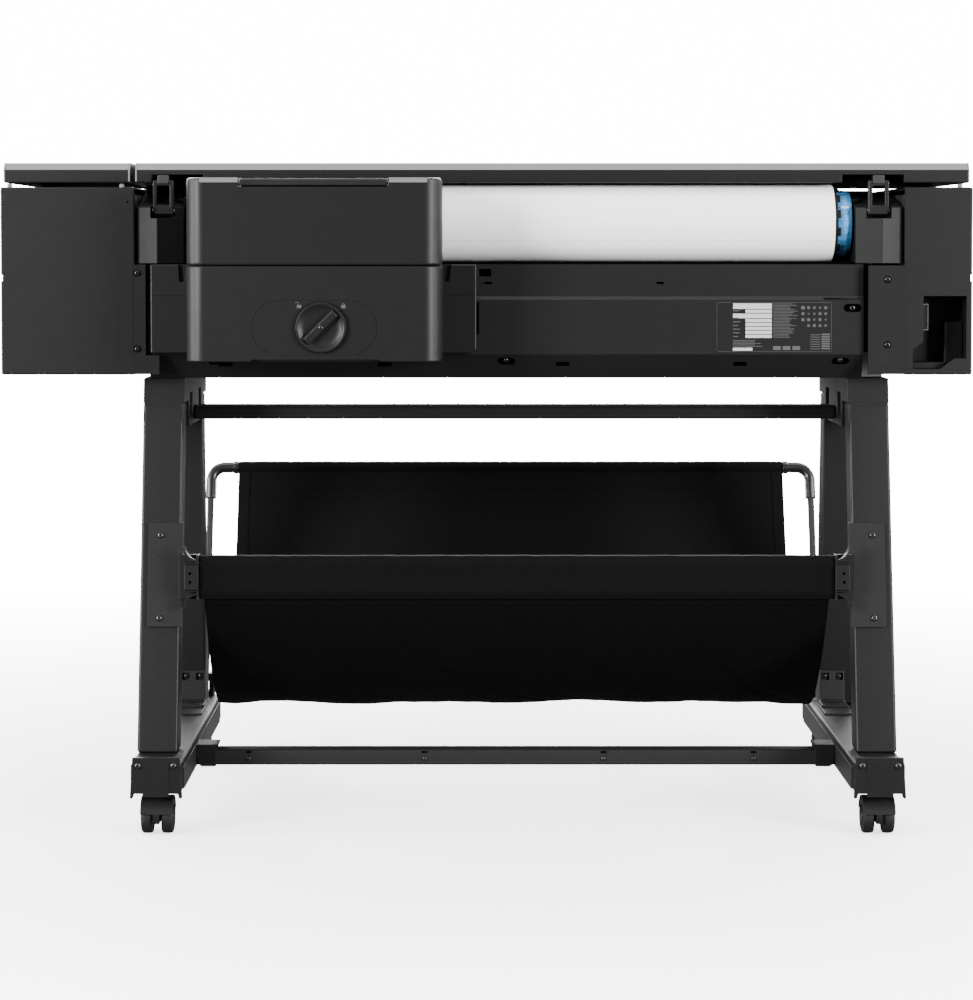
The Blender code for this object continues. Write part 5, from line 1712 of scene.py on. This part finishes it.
# ---------------------------------------------------------------- front and inside
class PLOTTER_OT_front(PlotterOperator, bpy.types.Operator):
    """Build the control panel's screen, the printing zone and the ink tanks"""

    bl_idname = "plotter.front"
    bl_label = "Front and inside"

    def execute(self, context):
        self.screen()
        self.platen()
        self.carriage()
        self.ink()
        self.guide_details()
        return self.done()

    @staticmethod
    def on_panel(shapes):
        """Moves shapes drawn flat (x, height along the panel, out) onto the sloped panel."""
        high, low = Vector((0.1820, 0.8860)), Vector((0.2080, 0.8230))
        along = (high - low).normalized()
        normal = Vector((along.y, -along.x))
        face = low + normal * 0.0085
        place = Matrix(((1, 0, 0, 0), (0, along.x, normal.x, face.x), (0, along.y, normal.y, face.y),
                        (0, 0, 0, 1)))
        return [moved(shape, place) for shape in shapes]

    def screen(self):
        """A recessed window with plain tiles, and four soft keys."""
        put("panel_shell", carved(cad_shape("control_panel"), [], 0.0007), "black_plastic",
            replaces=("control_panel",))
        left, right, bottom, top = -0.656, -0.586, 0.010, 0.0590
        frame_shape = outline_solid(rounded_rectangle((left - 0.002, bottom - 0.002),
                                                      (right + 0.002, top + 0.002), 0.003),
                                    -0.0002, 0.0007, "Z", 0.0002)
        put("screen_bezel", self.on_panel([frame_shape]), "black_gloss")
        window = outline_solid(rounded_rectangle((left, bottom), (right, top), 0.0015), 0.0007, 0.0010, "Z")
        put("screen_window", self.on_panel([window]), "black_gloss", finish=EXTRA_FINISH["glass"])
        tiles, bars = [], []
        for row in range(2):
            for place in range(3):
                x, level = left + 0.005 + place * 0.0212, bottom + 0.0045 + row * 0.0190
                tiles.append(rounded_box((x, level, 0.0010), (x + 0.0180, level + 0.0155, 0.0012), 0.0))
                bars.append(rounded_box((x + 0.003, level + 0.003, 0.0012),
                                        (x + 0.013, level + 0.0046, 0.0013), 0.0))
                bars.append(rounded_box((x + 0.003, level + 0.0064, 0.0012),
                                        (x + 0.009, level + 0.0076, 0.0013), 0.0))
        bars.append(rounded_box((left + 0.005, top - 0.0062, 0.0010), (right - 0.030, top - 0.0040, 0.0012),
                                0.0))
        put("screen_tiles", self.on_panel(tiles), "black_gloss", finish=EXTRA_FINISH["screen"])
        put("screen_bars", self.on_panel(bars), "black_gloss", finish=EXTRA_FINISH["ink"])
        keys = [outline_solid(rounded_rectangle((-0.577, level), (-0.567, level + 0.006), 0.0015), 0.0,
                              0.0012, "Z", 0.0003)
                for level in (0.012, 0.022, 0.032, 0.042)]
        put("panel_keys", self.on_panel(keys), "grey_plastic")

    def platen(self):
        """Ribs across the platen, and the belt and screws of the carriage rail."""
        low, high = corners("platen")
        pitch = self.sizes.rib_pitch
        ribs = []
        count = int((high.x - low.x - 0.01) / pitch)
        for index in range(count):
            x = low.x + 0.012 + index * pitch
            ribs.append(rounded_box((x, low.y + 0.004, high.z - 0.0002),
                                    (x + 0.0030, high.y - 0.004, high.z + 0.0012),
                                    0.0004))
        put("platen_ribs", ribs, "black_plastic")
        rail_low, rail_high = corners("carriage_rail")
        marks = [rounded_box((rail_low.x + 0.006, rail_low.y + 0.003, rail_high.z - 0.0001),
                             (rail_high.x - 0.006, rail_low.y + 0.006, rail_high.z + 0.0010), 0.0003)]
        put("rail_belt", marks, "wheel_rubber")
        bolts = []
        for index in range(8):
            x = rail_low.x + 0.05 + (rail_high.x - rail_low.x - 0.10) * index / 7
            bolts.append(button_head((x, (rail_low.y + rail_high.y) / 2 + 0.003, rail_high.z), (0, 0, 1),
                                     0.0032, 0.0016))
        put("rail_screws", bolts, "zinc_steel")

    @staticmethod
    def carriage():
        """The carriage's shell with six cartridges and their plain marks."""
        low, high = corners("print_carriage")
        dress("carriage_shell", "print_carriage", 0.0009, body="carriage")
        shapes, tops = [], []
        width = (high.x - low.x - 0.012) / 6
        for index in range(6):
            x = low.x + 0.006 + index * width
            shapes.append(rounded_box((x + 0.0008, low.y + 0.008, high.z - 0.004),
                                      (x + width - 0.0008, high.y - 0.014, high.z + 0.0040), 0.0010))
            tops.append(rounded_box((x + 0.0028, low.y + 0.012, high.z + 0.0038),
                                    (x + width - 0.0028, low.y + 0.024, high.z + 0.0044), 0.0002))
        put("carriage_cartridges", shapes, "grey_plastic", "carriage")
        put("carriage_cartridge_marks", tops, "grey_plastic", "carriage", finish=EXTRA_FINISH["ink"])

    @staticmethod
    def ink():
        """Caps and plain labels on the ink tanks."""
        low, high = corners("ink_tanks")
        caps, labels = [], []
        count = 6
        width = (high.x - low.x) / count
        for index in range(count):
            x = low.x + width * (index + 0.5)
            profile = [(0, 0.0055), (0.0070, 0.0055), (0.0078, 0.0047), (0.0078, -0.0010), (0, -0.0010)]
            caps.append(turned(profile, (x, low.y + (high.y - low.y) * 0.70, high.z), (0, 0, 1), 32))
            labels.append(rounded_box((x - width * 0.32, low.y + 0.020, high.z - 0.0001),
                                      (x + width * 0.32, low.y + 0.075, high.z + 0.0003), 0.0))
        put("ink_caps", caps, "grey_plastic")
        put("ink_labels", labels, "black_plastic", finish=EXTRA_FINISH["ink"])

    @staticmethod
    def guide_details():
        """Ribs on the output guide."""
        low, high = corners("output_guide")
        ribs = []
        count = 26
        for index in range(count):
            x = low.x + 0.020 + (high.x - low.x - 0.040) * index / (count - 1)
            ribs.append(rounded_box((x - 0.0010, 0.170, 0.8212), (x + 0.0010, 0.1925, 0.8224), 0.0003))
        put("output_guide_ribs", ribs, "black_plastic")


# ---------------------------------------------------------------- studio
class PLOTTER_OT_stage(PlotterOperator, bpy.types.Operator):
    """Set up the floor, the lights, the world and the camera"""

    bl_idname = "plotter.stage"
    bl_label = "Stage"

    def execute(self, context):
        floor = bmesh.new()
        bmesh.ops.create_grid(floor, x_segments=1, y_segments=1, size=30.0)
        mesh = bpy.data.meshes.new("floor")
        floor.to_mesh(mesh)
        floor.free()
        mesh.materials.append(studio_paper("floor paper", (0.86, 0.86, 0.86)))
        surface = bpy.data.objects.new("floor", mesh)
        context.scene.collection.objects.link(surface)
        surface.visible_diffuse = False
        surface.visible_glossy = False
        self.world(context)
        lights = (("softbox_above", (0.0, -0.3, 3.4), (0.0, 0.0, 0.5), 120.0, (4.0, 2.4)),
                  ("softbox_left", (-3.6, -3.2, 1.5), (0.0, 0.0, 0.6), 560.0, (1.4, 2.0)),
                  ("softbox_right", (3.6, -3.2, 1.5), (0.0, 0.0, 0.6), 560.0, (1.4, 2.0)),
                  ("strip_left", (-3.4, -0.7, 1.1), (0.0, -0.2, 0.7), 170.0, (0.8, 2.0)),
                  ("strip_right", (3.4, -0.7, 1.1), (0.0, -0.2, 0.7), 90.0, (0.8, 2.0)),
                  ("softbox_rear", (0.0, 3.6, 2.2), (0.0, 0.0, 0.6), 330.0, (3.4, 1.6)),
                  ("softbox_rear_left", (-3.2, 3.0, 1.6), (0.0, 0.0, 0.6), 300.0, (1.4, 2.0)),
                  ("softbox_rear_right", (3.2, 3.0, 1.6), (0.0, 0.0, 0.6), 240.0, (1.4, 2.0)))
        for name, place, aim, power, size in lights:
            self.softbox(context, name, place, aim, power, size)
        self.camera(context)
        return self.done()

    @staticmethod
    def world(context):
        """White to the camera, and a soft pale sky to everything else."""
        world = bpy.data.worlds.new("studio")
        world.use_nodes = True
        tree = world.node_tree
        tree.nodes.clear()
        seen = tree.nodes.new("ShaderNodeLightPath")
        white = tree.nodes.new("ShaderNodeBackground")
        white.inputs["Color"].default_value = (1.0, 1.0, 1.0, 1.0)
        white.inputs["Strength"].default_value = 16.0
        sky = tree.nodes.new("ShaderNodeBackground")
        sky.inputs["Color"].default_value = (1.0, 1.0, 1.0, 1.0)
        sky.inputs["Strength"].default_value = 0.30
        mix = tree.nodes.new("ShaderNodeMixShader")
        out = tree.nodes.new("ShaderNodeOutputWorld")
        tree.links.new(seen.outputs["Is Camera Ray"], mix.inputs["Fac"])
        tree.links.new(sky.outputs["Background"], mix.inputs[1])
        tree.links.new(white.outputs["Background"], mix.inputs[2])
        tree.links.new(mix.outputs["Shader"], out.inputs["Surface"])
        context.scene.world = world

    @staticmethod
    def softbox(context, name, place, aim, power, size):
        data = bpy.data.lights.new(name, "AREA")
        data.shape = "RECTANGLE"
        data.size, data.size_y = size
        data.energy = power
        lamp = bpy.data.objects.new(name, data)
        lamp.location = place
        lamp.rotation_mode = "QUATERNION"
        lamp.rotation_quaternion = (Vector(aim) - Vector(place)).to_track_quat("-Z", "Y")
        lamp.visible_camera = False
        context.scene.collection.objects.link(lamp)

    @staticmethod
    def camera(context):
        data = bpy.data.cameras.new("camera")
        data.lens = 98.70
        data.sensor_width = 36.0
        data.sensor_height = 36.0
        data.sensor_fit = "VERTICAL"
        data.shift_x = 0.0165
        data.shift_y = -0.140
        data.clip_start, data.clip_end = 0.05, 100.0
        camera = bpy.data.objects.new("camera", data)
        camera.location = (-0.024, -4.1615, 0.82)
        camera.rotation_euler = (math.radians(90 - 2.30), 0, 0)
        context.scene.collection.objects.link(camera)
        context.scene.camera = camera


# ---------------------------------------------------------------- add-on
class PLOTTER_PT_panel(bpy.types.Panel):
    """The plotter's looks, from its finishes to its stage"""

    bl_idname = "PLOTTER_PT_panel"
    bl_label = "Plotter"
    bl_space_type = "VIEW_3D"
    bl_region_type = "UI"
    bl_category = "Plotter"

    def draw(self, context):
        colours = self.layout.box()
        for name in PlotterColours.__annotations__:
            colours.prop(context.scene.plotter_colours, name)
        sizes = self.layout.box()
        for name in PlotterSizes.__annotations__:
            sizes.prop(context.scene.plotter_sizes, name)
        for operator in OPERATORS:
            self.layout.operator(operator.bl_idname)


OPERATORS = (PLOTTER_OT_finishes, PLOTTER_OT_roll, PLOTTER_OT_bay, PLOTTER_OT_beam, PLOTTER_OT_label,
             PLOTTER_OT_cabinets, PLOTTER_OT_lids, PLOTTER_OT_feeder, PLOTTER_OT_stand, PLOTTER_OT_casters,
             PLOTTER_OT_basket, PLOTTER_OT_front, PLOTTER_OT_stage)
CLASSES = (PlotterColours, PlotterSizes, *OPERATORS, PLOTTER_PT_panel)


def register():
    for kind in CLASSES:
        bpy.utils.register_class(kind)
    bpy.types.Scene.plotter_colours = bpy.props.PointerProperty(type=PlotterColours)
    bpy.types.Scene.plotter_sizes = bpy.props.PointerProperty(type=PlotterSizes)


def unregister():
    del bpy.types.Scene.plotter_sizes
    del bpy.types.Scene.plotter_colours
    for kind in reversed(CLASSES):
        bpy.utils.unregister_class(kind)


def main():
    register()
    bpy.ops.plotter.finishes()
    bpy.ops.plotter.roll()
    bpy.ops.plotter.bay()
    bpy.ops.plotter.beam()
    bpy.ops.plotter.label()
    bpy.ops.plotter.cabinets()
    bpy.ops.plotter.lids()
    bpy.ops.plotter.feeder()
    bpy.ops.plotter.stand()
    bpy.ops.plotter.casters()
    bpy.ops.plotter.basket()
    bpy.ops.plotter.front()
    bpy.ops.plotter.stage()


if __name__ == "__main__":
    main()
